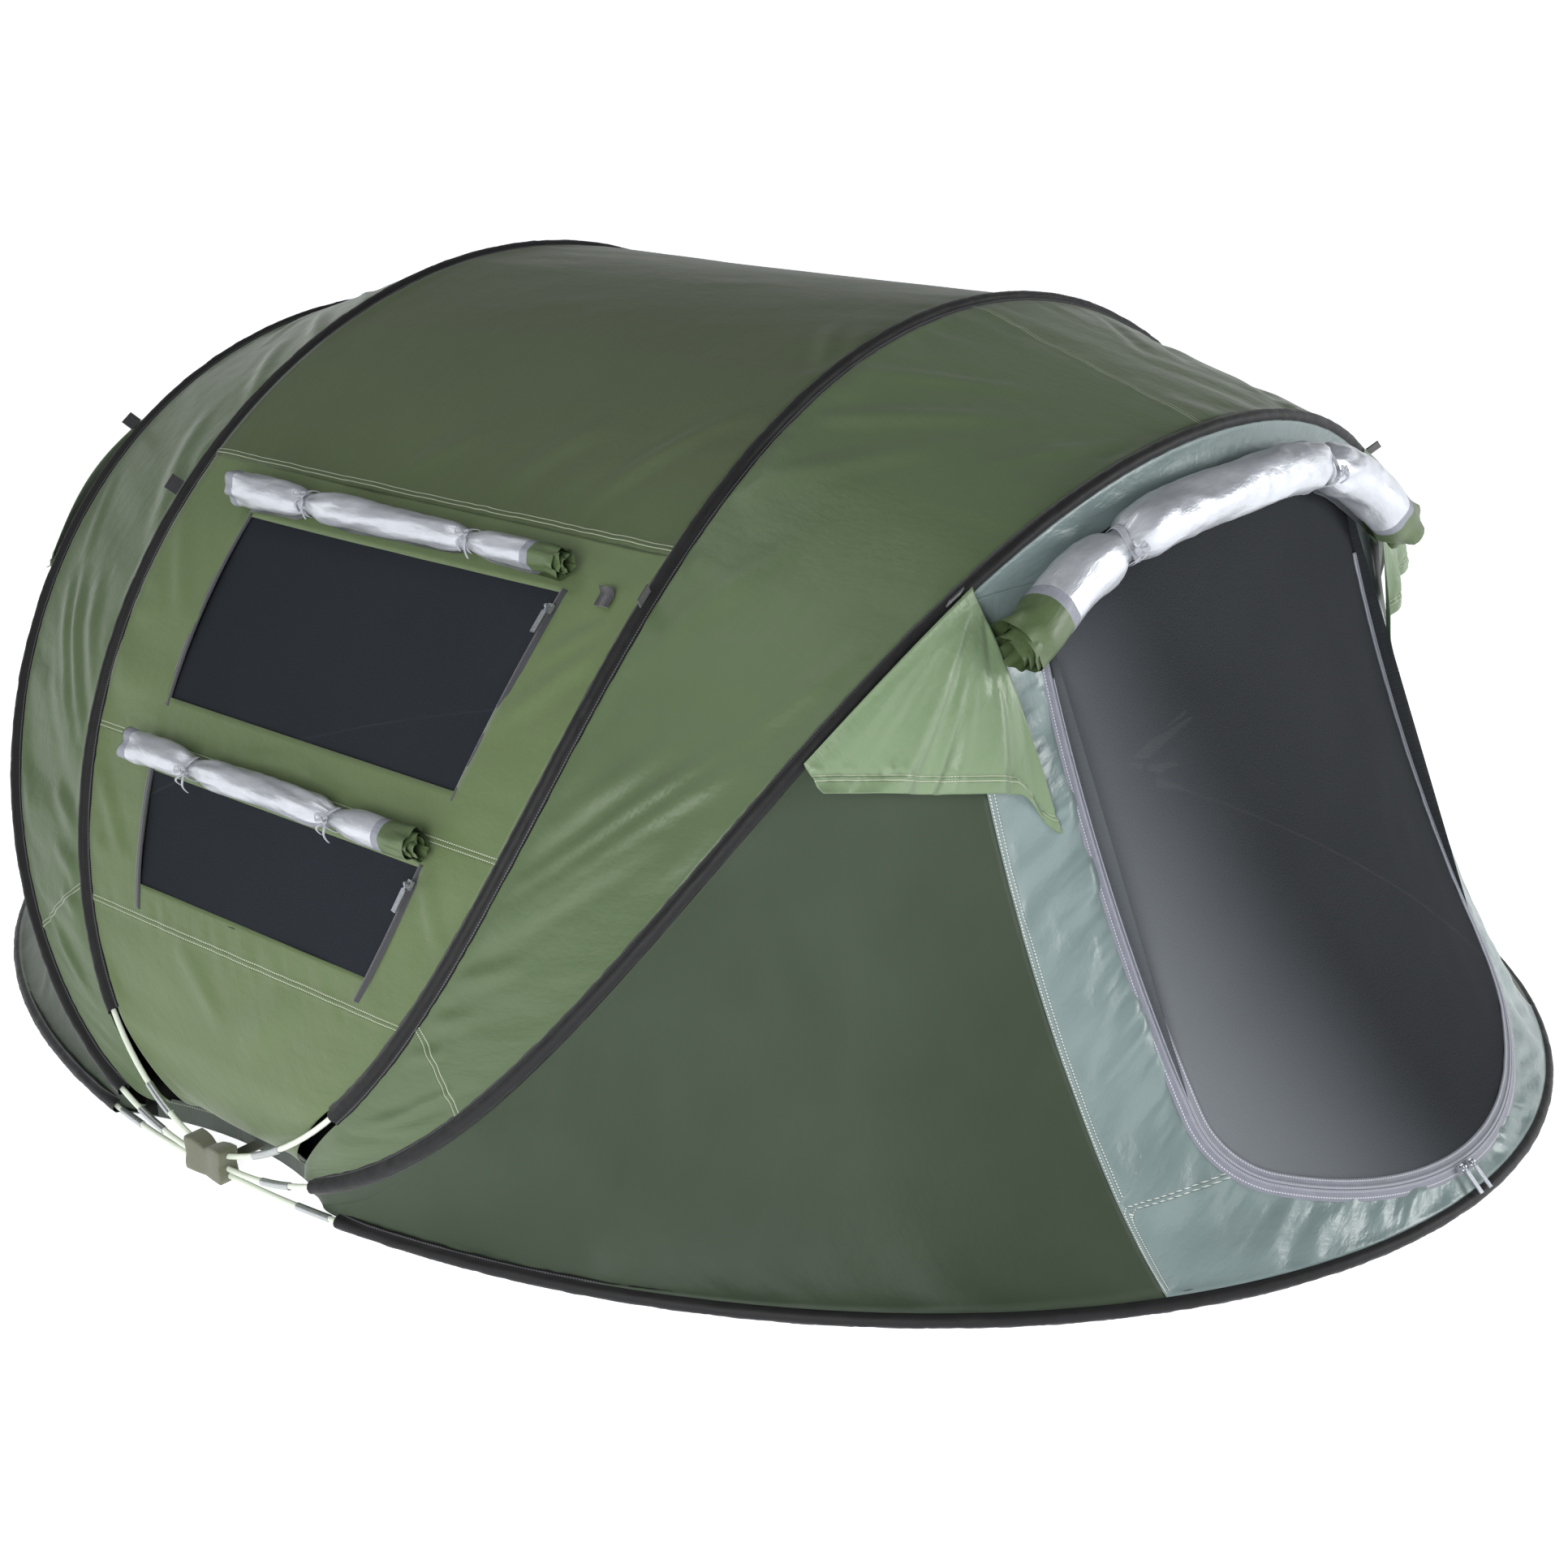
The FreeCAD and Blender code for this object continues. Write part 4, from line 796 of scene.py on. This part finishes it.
# ---------------------------------------------------------------- door walls
# A lighter grey green cloth with a shiny face surrounds each D-shaped door. The zip tape gathers
# it into small ruffles at its edge, and a seam runs out from each lower corner of the door.
DOOR_HALF_WIDTH, DOOR_RADIUS, DOOR_CORNER, DOOR_TOP_SHARE = 0.412, 0.620, 0.150, 0.045
DOOR_SILL, DOOR_HINGE = 0.052, 0.790


def door_frame(end):
    """Origin at the middle of the door's sill, and the direction up the wall."""
    top, foot = (cloth_point(end + "_wall", 90.0, share) for share in (DOOR_TOP_SHARE, 0.99))
    up = unit(top - foot)
    return foot + up * (DOOR_SILL - foot[2]), up


def door_edge(inset, top, count):
    """The D from the top of its left side, down round the bottom, to the top of its right side."""
    half, radius, corner = DOOR_HALF_WIDTH - inset, DOOR_RADIUS - inset, DOOR_CORNER - inset
    corner_x = half - corner
    corner_up = DOOR_RADIUS - math.sqrt((radius - corner) ** 2 - corner_x ** 2)
    lean = math.atan2(corner_x, DOOR_RADIUS - corner_up)
    sweep = np.linspace(0, 1, 60)
    bend = math.pi / 2 - (math.pi / 2 - lean) * sweep
    x = [np.linspace(half, half, 40), corner_x + corner * np.sin(bend), radius * np.sin(lean * (1 - sweep))]
    up = [np.linspace(top, corner_up, 40), corner_up - corner * np.cos(bend),
          DOOR_RADIUS - radius * np.cos(lean * (1 - sweep))]
    x, up = np.concatenate(x), np.concatenate(up)
    line = np.stack([np.concatenate([-x, x[-2::-1]]), np.concatenate([up, up[-2::-1]])], -1)
    line = line[np.concatenate([[True], np.linalg.norm(np.diff(line, axis=0), axis=1) > 1e-6])]
    run = lengths(line[:, None], 0)[:, 0]
    at = np.linspace(0, run[-1], count)
    return np.stack([np.interp(at, run, line[:, k]) for k in (0, 1)], -1)


def wall_place(end, x, up):
    """The turn and share of the wall cloth at a place across and up the door's plane."""
    origin, rise = door_frame(end)
    turn, share = 90 - x / 0.0205, 1 - (up + 0.06) / 1.0

    def miss(t, s):
        point = cloth_point(end + "_wall", t, s)
        return point[..., 0] - x, ((point - origin) * rise).sum(-1) - up

    for _ in range(9):
        a, b = miss(turn, share)
        at, bt = miss(turn + 0.05, share)
        as_, bs = miss(turn, share + 0.001)
        at, bt, as_, bs = (at - a) / 0.05, (bt - b) / 0.05, (as_ - a) / 0.001, (bs - b) / 0.001
        size = at * bs - as_ * bt
        turn = np.clip(turn - (a * bs - as_ * b) / size, 55, 125)
        share = np.clip(share - (at * b - a * bt) / size, -0.05, 1.06)
    return turn, share


def door_top(end, half):
    """How far up the wall a door side at half from the middle meets the top edge, and its turn."""
    turns = np.linspace(90, 112, 400)
    points = cloth_point(end + "_wall", turns, DOOR_TOP_SHARE)
    turn = float(np.interp(half, -points[:, 0], turns))
    origin, rise = door_frame(end)
    return float((cloth_point(end + "_wall", turn, DOOR_TOP_SHARE) - origin) @ rise), turn


door_wall_green = taffeta("door_wall_cloth", (84, 100, 98), (136, 152, 152), rough=0.22, sheen=0.1,
                          crease=2.0, thread=(190, 198, 190))
for end in ENDS:
    wall = end + "_wall"
    top, top_turn = door_top(end, DOOR_HALF_WIDTH)
    inner_line = door_edge(0.0, top, 760)
    inner_turn, inner_share = wall_place(end, inner_line[:, 0], inner_line[:, 1])
    top_turns = np.linspace(180 - top_turn, top_turn, 140)[1:]
    inner_turn = np.concatenate([inner_turn, top_turns])
    inner_share = np.concatenate([inner_share, np.full(len(top_turns), DOOR_TOP_SHARE)])
    corner = int(np.argmax(inner_line[:, 1] < 0.12))
    down, along = np.linspace(-0.004, 1.003, corner), np.linspace(0, 1, 760 - 2 * corner + 2)[1:-1]
    bottom = wall_seam(1.003) + (180 - 2 * wall_seam(1.003)) * along
    outer_turn = np.concatenate([wall_seam(down), bottom, 180 - wall_seam(down[::-1]),
                                 np.linspace(69, 111, 140)[1:]])
    outer_share = np.concatenate([down, np.full(len(bottom), 1.003), down[::-1], np.full(139, -0.004)])
    reach = np.array([0, 0.02, 0.05, 0.09, 0.14, 0.2, 0.27, 0.35, 0.44, 0.54, 0.65, 0.76, 0.86, 0.94, 1.0])
    turn = inner_turn[:, None] * (1 - reach) + outer_turn[:, None] * reach
    share = inner_share[:, None] * (1 - reach) + outer_share[:, None] * reach
    flat = cloth_point(wall, turn, share)
    across, along = lengths(flat, 1), np.broadcast_to(lengths(flat[:, :1], 0), turn.shape)
    rest = across[:, -1:] - across
    sides = ease((0.90 - abs(np.linspace(-1, 1, len(turn)) + 0.12)) * 12)[:, None]
    height = 0.0045 * np.exp(-across / 0.030) * crumple(along / 0.0085, across / 0.05, 91)
    height += 0.0060 * np.exp(-across / 0.09) * crumple(along / 0.028, across / 0.12, 92)
    height += 0.0070 * crumple(along / 0.075 + across / 0.09, across / 0.10, 93) * ease(across[:, -1:] / 0.12)
    height += 0.0035 * crumple(along / 0.030 - across / 0.05, across / 0.07, 94) * ease(across[:, -1:] / 0.12)
    height *= ease((across - 0.004) / 0.026) * ease(rest / 0.02) * sides
    joint = (share - 0.85) * 1.05
    joint = np.where(abs(flat[..., 0]) > 0.33, joint, 9.0)
    seam = np.where(((outer_share > 0) & (outer_share < 1))[:, None], rest, 9.0)
    seam = np.where(abs(joint) < abs(seam), joint, seam)
    height += 0.0018 * np.clip(1 - abs(seam - 0.006) / 0.007, 0, 1) ** 0.5 * ease(across / 0.006)
    grid = flat + cloth_normal(wall, turn, share) * height[..., None]
    grid[-1] = grid[0]
    maps = {"Cloth": np.stack([along, across], -1), "Seams": np.stack([seam, across], -1)}
    if end == "rear":
        grid, maps = turned_over(grid, maps)
    door_wall = woven_mesh(end + "_door_wall_sheet", [grid], [maps])
    finish_sheet(door_wall, door_wall_green, nodes=[end + "_door_wall"])

# ---------------------------------------------------------------- mesh doors
# One piece of insect mesh fills each door, from the D up behind the rolled cover, where it is sewn to the
# wall.
# The door nets' colour is painted paler towards one lower corner: painted light.
door_net = insect_mesh("door_net", (8, 10, 13), (138, 143, 148), (-1.9, 0.55, 0.10))
for end in ENDS:
    wall = end + "_wall"
    top, top_turn = door_top(end, DOOR_HALF_WIDTH)
    across = np.sin(np.linspace(-math.pi / 2, math.pi / 2, 90)) * (DOOR_HALF_WIDTH - 0.0006)
    outline = door_edge(0.0006, top, 1200)
    half = len(outline) // 2
    places = np.concatenate([outline[:half, 0] + np.arange(half) * 1e-9, outline[half:, 0]])
    low = np.interp(across, places, outline[:, 1])
    turns = np.linspace(66, 114, 500)
    arch = cloth_point(wall, turns, DOOR_TOP_SHARE + 0.001)
    origin, rise = door_frame(end)
    high = np.interp(-across, -arch[:, 0], (arch - origin) @ rise)
    portion = np.linspace(0, 1, 110)[:, None]
    up = low + (high - low) * portion
    x = np.broadcast_to(across, up.shape)
    turn, share = wall_place(end, x, up)
    edge_gap = np.minimum(DOOR_HALF_WIDTH - abs(x), up - low)
    height = 0.0030 * crumple(x / 0.16, up / 0.22, 97) + 0.0012 * crumple(x / 0.05, up / 0.07, 98)
    height *= ease(edge_gap / 0.05)
    grid = cloth_point(wall, turn, share, lift=height)
    maps = {"Cloth": np.stack([x, up], -1)}
    if end == "front":
        grid, maps = turned_over(grid, maps)
    net = woven_mesh(end + "_door_net", [grid], [maps])
    net.data.materials.append(door_net)
    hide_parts(end + "_door_mesh", "door_mesh_tops")
    hinge_y = float(ENDS[end] * abs(origin[1] + rise[1] * (DOOR_HINGE - origin[2]) / rise[2]))
    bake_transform(net)

# ---------------------------------------------------------------- door zips
# A grey coil zip follows the D. One tape is sewn to the wall and the other to the mesh door, and
# the two rows of teeth meet between them.
def door_tape(end, near, far, top_z):
    """A strip of tape along the door's edge, from its teeth to its sewn edge, with its maps."""
    wall = end + "_wall"
    origin, rise = door_frame(end)
    top = (top_z - origin[2]) / rise[2]
    columns = []
    insets = near + (far - near) * np.array([0, 0.04, 0.2, 0.25, 0.7, 0.96, 1.0])
    for inset, lift in zip(insets, (0.0004, 0.0030, 0.0030, 0.0018, 0.0014, 0.0014, 0.0002)):
        line = door_edge(inset, top, 620)
        turn, share = wall_place(end, line[:, 0], line[:, 1])
        run = np.linspace(0, 2.4, 620)
        ripple = 0.0005 * crumple(run / 0.022, abs(inset) * 90 + 0 * run, 101) * min(1, abs(inset) / 0.015)
        columns.append(cloth_point(wall, turn, share, lift=lift + ripple))
    grid = np.stack(columns, 1)
    along = np.broadcast_to(lengths(grid[:, :1], 0), grid.shape[:2])
    width = np.broadcast_to(abs(insets - near), grid.shape[:2])
    maps = {"Cloth": np.stack([along, width], -1), "Seams": np.stack([width, width], -1)}
    if (near < far) != (end == "rear"):
        grid, maps = turned_over(grid, maps)
    return grid, maps


grids, tape_maps = zip(*[door_tape(end, -0.0006, -0.015, 0.86) for end in ENDS])
fixed_tape = woven_mesh("door_frame_zip_tapes", grids, tape_maps)
finish_sheet(fixed_tape, zip_tape, nodes=["door_frame_zips"])
for end in ENDS:
    grid, maps = door_tape(end, 0.0008, 0.014, DOOR_HINGE - 0.0012)
    tape = woven_mesh(end + "_door_zip_tape", [grid], [maps])
    finish_sheet(tape, zip_tape, body=end + "_door", nodes=[end + "_door_zip"])

# ---------------------------------------------------------------- zip sliders and pulls
# Die-cast sliders run on the zips, two at the bottom of each door and one on each window. Their
# pulls hang from a bar and swing.
cast_metal, spot, shader = new_finish("cast_zip_metal", {"Metallic": 0.85})
worn = spot.noise(320, 3, 0.6)
pits = spot.noise(1400, 2)
connect(spot, shader, Base_Color=worn.tint(rgb(130, 133, 140), rgb(196, 199, 205)),
        Roughness=0.28 + worn * 0.25, Normal=pits.bumps(0.15, 0.0003))
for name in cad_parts:
    if "_slider_" in name or "_pull_" in name:
        painted(name, cast_metal)

# ---------------------------------------------------------------- rolled covers
# Each opening has a cover of silver-coated cloth, green on its weather side. It is rolled up
# above the opening with the silver outside, bound in grey tape at its ends, and shows a green
# spiral there.
def silver_cover(name, rear_green, front_green, band=0.014):
    """Cover cloth: silver, bound in grey tape near its ends, and green on the turns that stick out there."""
    material, spot, shader = new_finish(name, {"Coat Weight": 0.15, "Coat Roughness": 0.3})
    cloth = spot.add("ShaderNodeUVMap", {"uv_map": "Cloth"})
    ends = spot.add("ShaderNodeUVMap", {"uv_map": "Seams"})
    crush = cloth.scaled(16, 34).noise(1, 5, 0.62)
    fine = cloth.scaled(150, 110).noise(1, 3, 0.6)
    threads = (cloth.axis(0) * 5200).sin() * (cloth.axis(1) * 5200).sin()
    inner_turns = 0.16 + 0.11 * (front_green > 0.05)
    green = (ends.axis(0) < rear_green) + (ends.axis(1) < front_green) + (cloth.axis(1) > inner_turns)
    green = green > 0.5
    rear_band = abs(ends.axis(0) - rear_green - band / 2) < band / 2
    front_band = abs(ends.axis(1) - front_green - band / 2) < band / 2
    bound = (rear_band + front_band) * (1 - green)
    silver = crush.tint(rgb(168, 172, 180), rgb(214, 217, 222))
    olive = crush.tint(rgb(58, 74, 44), rgb(88, 106, 68))
    grey = fine.tint(rgb(112, 115, 124), rgb(138, 141, 150))
    metallic = (1 - green) * (1 - bound) * 0.55
    connect(spot, shader, Base_Color=green.tint(bound.tint(silver, grey), olive), Metallic=metallic,
            Roughness=0.30 + green * 0.15 + bound * 0.3 + crush * 0.12,
            Normal=(fine * 0.4 + threads * 0.1).bumps(0.3, 0.0008, crush.bumps(0.5, 0.006)))
    return material


def roll_line(surface, turn_ends, share_ends, lift, count, bend=0.0):
    """The middle of a roll, its direction, and which way is off the cloth."""
    at = np.linspace(0, 1, count)
    turn = turn_ends[0] + (turn_ends[1] - turn_ends[0]) * at
    share = share_ends[0] + (share_ends[1] - share_ends[0]) * at + bend * np.sin(np.pi * at)
    middle = cloth_point(surface, turn, share) + cloth_normal(surface, turn, share) * lift
    tangent = unit(np.gradient(middle, axis=0))
    off = cloth_normal(surface, turn, share)
    off = unit(off - tangent * (off * tangent).sum(-1)[:, None])
    return middle, tangent, off


def roll_size(run, angle, ties, radius, taper, seed):
    """The roll's radius at a place along it and round it: pinched at its ties, folded between them."""
    total = run.max()
    near = sum(np.exp(-(((run - total * tie) / 0.026) ** 2)) for tie in ties)
    wide = sum(np.exp(-(((run - total * tie) / 0.070) ** 2)) for tie in ties)
    size = radius * (1 + taper * (1 - 2 * run / total))
    lumps = crumple(run / 0.075 + 1.6 * np.cos(angle), 1.6 * np.sin(angle), seed)
    size = size * (1 - 0.40 * near) * (1 + 0.10 * lumps)
    folds = np.sin(7 * angle + 5 * crumple(run / 0.11, 0 * angle, seed + 1))
    size = size * (1 + (0.035 + 0.09 * wide) * folds * crumple(run / 0.05, 0.8 * np.cos(angle) + 3, seed + 2))
    return size * (1 + 0.02 * crumple(run / 0.016, 3 * np.cos(angle), seed + 3))


def roll_up(line, ties, radius, turns_round, taper, seed, loose=(0.0, 0.0)):
    """A spiral of cloth round a line. loose is how far its inner turns stick out at each end."""
    middle, tangent, off = line
    third = np.cross(tangent, off)
    run = lengths(middle[:, None], 0)
    angle = np.linspace(0, 2 * math.pi * turns_round, int(34 * turns_round))[None, :]
    total = run.max()
    wound = angle / angle.max()
    size = roll_size(run, angle, ties, radius, taper, seed) * (1 - 0.62 * wound ** 0.9)
    for place, (end_run, much) in enumerate(((run, loose[0]), (total - run, loose[1]))):
        near = ease(1 - end_run / 0.06) * (much > 0)
        size = size * (1 + near * 0.22 * crumple(end_run / 0.03, angle * 1.9, seed + 7 + place))
    turned = angle + 2.4
    spoke = off[:, None] * np.cos(turned)[..., None] + third[:, None] * np.sin(turned)[..., None]
    grid = middle[:, None] + spoke * size[..., None]
    push = -loose[0] * wound * ease(1 - run / 0.05) + loose[1] * wound * ease(1 - (total - run) / 0.05)
    tips = ease(1 - run / 0.02) + ease(1 - (total - run) / 0.02)
    push = push + 0.004 * crumple(angle * 1.3, run / 0.02, seed + 9) * tips
    grid = grid + tangent[:, None] * push[..., None]
    arc = lengths(grid[len(grid) // 3:len(grid) // 3 + 1], 1)
    along = np.broadcast_to(run, grid.shape[:2])
    maps = {"Cloth": np.stack([along, np.broadcast_to(arc, along.shape)], -1),
            "Seams": np.stack([along, total - along], -1)}
    return grid, maps


def tie_round(line, at, radius, taper, seed, width, tails):
    """A tape tied round the roll at a pinch, with a knot of small loops and two loose ends."""
    middle, tangent, off = line
    third = np.cross(tangent, off)
    run = lengths(middle[:, None], 0)
    k = int(np.argmin(abs(run[:, 0] - at * run.max())))
    angle = np.linspace(0, 2 * math.pi, 49)[:, None]
    across = np.linspace(-width / 2, width / 2, 5)[None, :]
    size = 0.0014 + radius * (1 + taper * (1 - 2 * at)) * 0.63 * (1 + 0.05 * np.sin(3 * angle + seed))
    spoke = off[k] * np.cos(angle)[..., None] + third[k] * np.sin(angle)[..., None]
    slant = across + 0.006 * np.sin(angle * 2 + seed)
    grids = [middle[k] + spoke * size[..., None] + tangent[k] * slant[..., None]]
    knot_angle = 0.35 + 0.3 * math.sin(seed)
    way = off[k] * math.cos(knot_angle) + third[k] * math.sin(knot_angle)
    knot = middle[k] + way * (float(size.mean()) + 0.002)
    fall = Vector((0, 0, -1))
    for number, (length, lean) in enumerate(tails):
        s = np.linspace(0, 1, 16)[:, None]
        path = knot + way * (0.010 * np.sin(np.pi * s)) + np.array(fall) * (length * s) \
            + tangent[k] * (lean * s + 0.004 * np.sin(5 * s + number))
        grids.append(path[:, None] + tangent[k] * (across * (1 - 0.2 * s))[..., None] * 0.8)
    for turned in (-0.9, 0.9):      # the two small loops of the knot
        a = np.linspace(0, 2 * math.pi, 25)[:, None]
        reach = 0.011 * np.sin(a / 2)
        loop = knot + way * (0.004 + reach * 0.5 + 0.002 * np.cos(a)) \
            + tangent[k] * (turned * reach * 1.3) + third[k] * (0.004 * np.sin(a))
        grids.append(loop[:, None] + (tangent[k] * 0.3 + third[k] * 0.9) * (across * 0.7)[..., None])
    maps = []
    for grid in grids:
        along, wide = lengths(grid, 0), lengths(grid, 1)
        maps.append({"Cloth": np.stack([along, wide], -1), "Seams": np.stack([wide, wide], -1)})
    return grids, maps


tie_tape, spot, shader = new_finish("tie_tape", {"Sheen Weight": 0.3})
cloth = spot.add("ShaderNodeUVMap", {"uv_map": "Cloth"})
ribs = (cloth.axis(0) * 3000).sin() * (cloth.axis(1) * 2600).sin()
wear = spot.noise(60, 3, 0.6)
connect(spot, shader, Base_Color=wear.tint(rgb(128, 131, 140), rgb(172, 175, 183)),
        Roughness=0.5 + wear * 0.2, Normal=ribs.bumps(0.4, 0.0005))

WINDOW_TIES = (0.25, 0.75)      # shares of the roll's length
window_silver = silver_cover("window_cover_cloth", 0.002, 0.046)
tie_grids, tie_maps = [], []
for side in SIDES:
    for number, (window, (top, low)) in enumerate(WINDOWS.items()):
        turn = top - 1.2 if side == "left" else 181.2 - top
        line = roll_line("main", (turn, turn), (0.145, 0.86), 0.0300, 170)
        seed = 111 + 5 * number
        taper, radius = (0.16, 0.0275) if window == "upper" else (0.05, 0.0255)
        grid, maps = roll_up(line, WINDOW_TIES, radius, 3.2, taper, seed, loose=(0.006, 0.020))
        if side == "right":
            grid, maps = turned_over(grid, maps)
        cover = woven_mesh("window_roll_" + window + "_" + side, [grid], [maps])
        cover.data.materials.append(window_silver)
        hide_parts("window_cover_" + window + "_" + side)
        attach(cover, "root")
        cut_cloth(cover, [maps])
        for at in WINDOW_TIES:
            grids, maps = tie_round(line, at, radius, taper, seed + at, 0.006,
                                    ((0.034, 0.008), (0.026, -0.010)))
            tie_grids += grids
            tie_maps += maps
window_ties = woven_mesh("window_tie_tapes", tie_grids, tie_maps)
finish_sheet(window_ties, tie_tape, nodes=["window_cover_ties"])

DOOR_TIES, DOOR_ROLL_RADIUS, DOOR_ROLL_TAPER = (0.21, 0.71), 0.043, -0.02
door_silver = silver_cover("door_cover_cloth", 0.062, 0.052, band=0.016)
tie_grids, tie_maps = [], []
for end in ENDS:
    middle, tangent, off = roll_line(end + "_wall", (109.2, 71.0), (0.066, 0.078), 0.040, 260, bend=-0.014)
    at = np.linspace(0, 1, 260)[:, None]
    droop = ease((at - 0.80) / 0.20) + 0.4 * ease((0.14 - at) / 0.14)
    sag = 0.012 * np.sin(np.pi * np.clip((at - 0.21) / 0.5, 0, 1)) ** 2
    middle = middle + np.array((0, ENDS[end] * 0.030, -0.035)) * droop + np.array((0, 0, -1)) * sag
    tangent = unit(np.gradient(middle, axis=0))
    off = unit(off - tangent * (off * tangent).sum(-1)[:, None])
    line = (middle, tangent, off)
    grid, maps = roll_up(line, DOOR_TIES, DOOR_ROLL_RADIUS, 4.1, DOOR_ROLL_TAPER, 131 + 6 * (end == "rear"),
                         loose=(0.022, 0.026))
    if end == "rear":
        grid, maps = turned_over(grid, maps)
    cover = woven_mesh(end + "_door_roll", [grid], [maps])
    cover.data.materials.append(door_silver)
    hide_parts(end + "_door_cover")
    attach(cover, "root")
    cut_cloth(cover, [maps])
    for at in DOOR_TIES:
        grids, maps = tie_round(line, at, DOOR_ROLL_RADIUS, DOOR_ROLL_TAPER, 137 + at, 0.012,
                                ((0.020, 0.010), (0.014, -0.012)))
        tie_grids += grids
        tie_maps += maps
door_ties = woven_mesh("door_tie_tapes", tie_grids, tie_maps)
finish_sheet(door_ties, tie_tape, nodes=["door_cover_ties"])

# ---------------------------------------------------------------- awnings
# A small hood of green taffeta beside each top corner of the door, sewn along the door arch. Its
# free edge is gathered into a hem band, and its inner corner droops.
awning_green = taffeta("awning_cloth", (66, 88, 56), (128, 148, 116), rough=0.28, sheen=0.15, crease=2.2)
AWNING = {   # across, out and up, from the arch to the hem
    "arch_far": (0.772, 0.800, 0.704), "arch_near": (0.520, 0.866, 0.886),
    "hem_far": (0.770, 0.830, 0.672), "hem_near": (0.455, 0.962, 0.612),
}
for end in ENDS:
    grids, both_maps = [], []
    for side, sign in SIDES.items():
        corner = {key: np.array((sign * x, ENDS[end] * y, z)) for key, (x, y, z) in AWNING.items()}
        out = unit(np.array((0.25 * sign, ENDS[end] * 0.9, 0.35)))
        u, v = np.meshgrid(np.linspace(0, 1, 110), np.linspace(0, 1, 60), indexing="ij")
        u3, v3 = u[..., None], v[..., None]
        arch = corner["arch_far"] * (1 - u3) + corner["arch_near"] * u3
        arch = arch + unit(corner["arch_near"]) * (0.022 * np.sin(np.pi * u3))
        hem = corner["hem_far"] * (1 - u3) + corner["hem_near"] * u3
        hem = hem + np.array((0, 0, -0.055)) * ease((u3 - 0.84) / 0.16)
        flat = arch * (1 - v3) + hem * v3
        along, across = lengths(flat, 0), lengths(flat, 1)
        down = across / np.maximum(across[:, -1:], 1e-6)
        fan = np.arctan2(v * (0.2 + u), 1.05 - u) * 5.5
        from_hem = across[:, -1:] - across
        height = 0.016 * np.sin(np.pi * v) * u + 0.0120 * crumple(fan * 1.2, along * 0 + v * 1.1, 151) * v
        height += 0.0075 * crumple(fan * 2.6, v * 1.4, 152) * v \
            + 0.004 * crumple(along / 0.05, across / 0.05, 155) * v
        gather = np.exp(-((from_hem - 0.028) / 0.012) ** 2)
        height += gather * 0.0028 * crumple(along / 0.0065, from_hem / 0.02, 153)
        height += 0.0030 * np.exp(-from_hem / 0.010) * crumple(along / 0.055, 0 * v, 154)
        height -= 0.0020 * np.exp(-((from_hem - 0.028) / 0.004) ** 2)
        height *= ease(down / 0.12)
        grid = flat + out * (height + 0.004)[..., None]
        seam = np.stack([0.028 - from_hem, across], -1)
        maps = {"Cloth": np.stack([along, across], -1), "Seams": seam}
        if sign * ENDS[end] < 0:
            grid, maps = turned_over(grid, maps)
        grids.append(grid)
        both_maps.append(maps)
    awnings = woven_mesh(end + "_awning_sheets", grids, both_maps)
    finish_sheet(awnings, awning_green, nodes=[end + "_awnings"])
    cut_cloth(awnings, both_maps)

# ---------------------------------------------------------------- guy tabs and patches
# Short folded tabs of black webbing are sewn to the arches for guy lines, with a small square of
# the same webbing on each side panel to hold the window cover's toggle.
black_webbing, spot, shader = new_finish("black_webbing", {"Sheen Weight": 0.3})
ribs = (spot.axis(2) * 2400).sin() * (spot.axis(1) * 2400).sin()
lint = spot.noise(120, 3, 0.7)
connect(spot, shader, Base_Color=lint.tint(rgb(22, 22, 24), rgb(52, 52, 55)), Roughness=0.6 + lint * 0.2,
        Normal=ribs.bumps(0.5, 0.0006))
painted("guy_tabs", black_webbing)
for side, sign in SIDES.items():
    turn = 122.4 if side == "left" else 57.6
    centre, normal = cloth_point("main", turn, 0.945), cloth_normal("main", turn, 0.945)
    along = unit(cloth_point("main", turn, 0.95) - cloth_point("main", turn, 0.94))
    third = np.cross(normal, along)
    bpy.ops.object.select_all(action="DESELECT")
    bpy.ops.mesh.primitive_grid_add(x_subdivisions=10, y_subdivisions=10, size=0.026)
    patch = bpy.context.object
    patch.name = "toggle_patch_" + side
    for vertex in patch.data.vertices:
        x, y = vertex.co.x, vertex.co.y
        curl = 0.004 + 0.010 * max(0.0, (-y - 0.004) / 0.009) ** 2 + 0.0015 * math.sin(x * 220)
        vertex.co = Vector(centre + along * x + third * y * sign + normal * curl)
    wall = patch.modifiers.new("webbing_thickness", "SOLIDIFY")
    wall.thickness = 0.0016
    bpy.ops.object.modifier_apply(modifier="webbing_thickness")
    bpy.ops.object.shade_smooth_by_angle(angle=0.9)
    patch.data.materials.append(black_webbing)
    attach(patch, "root")
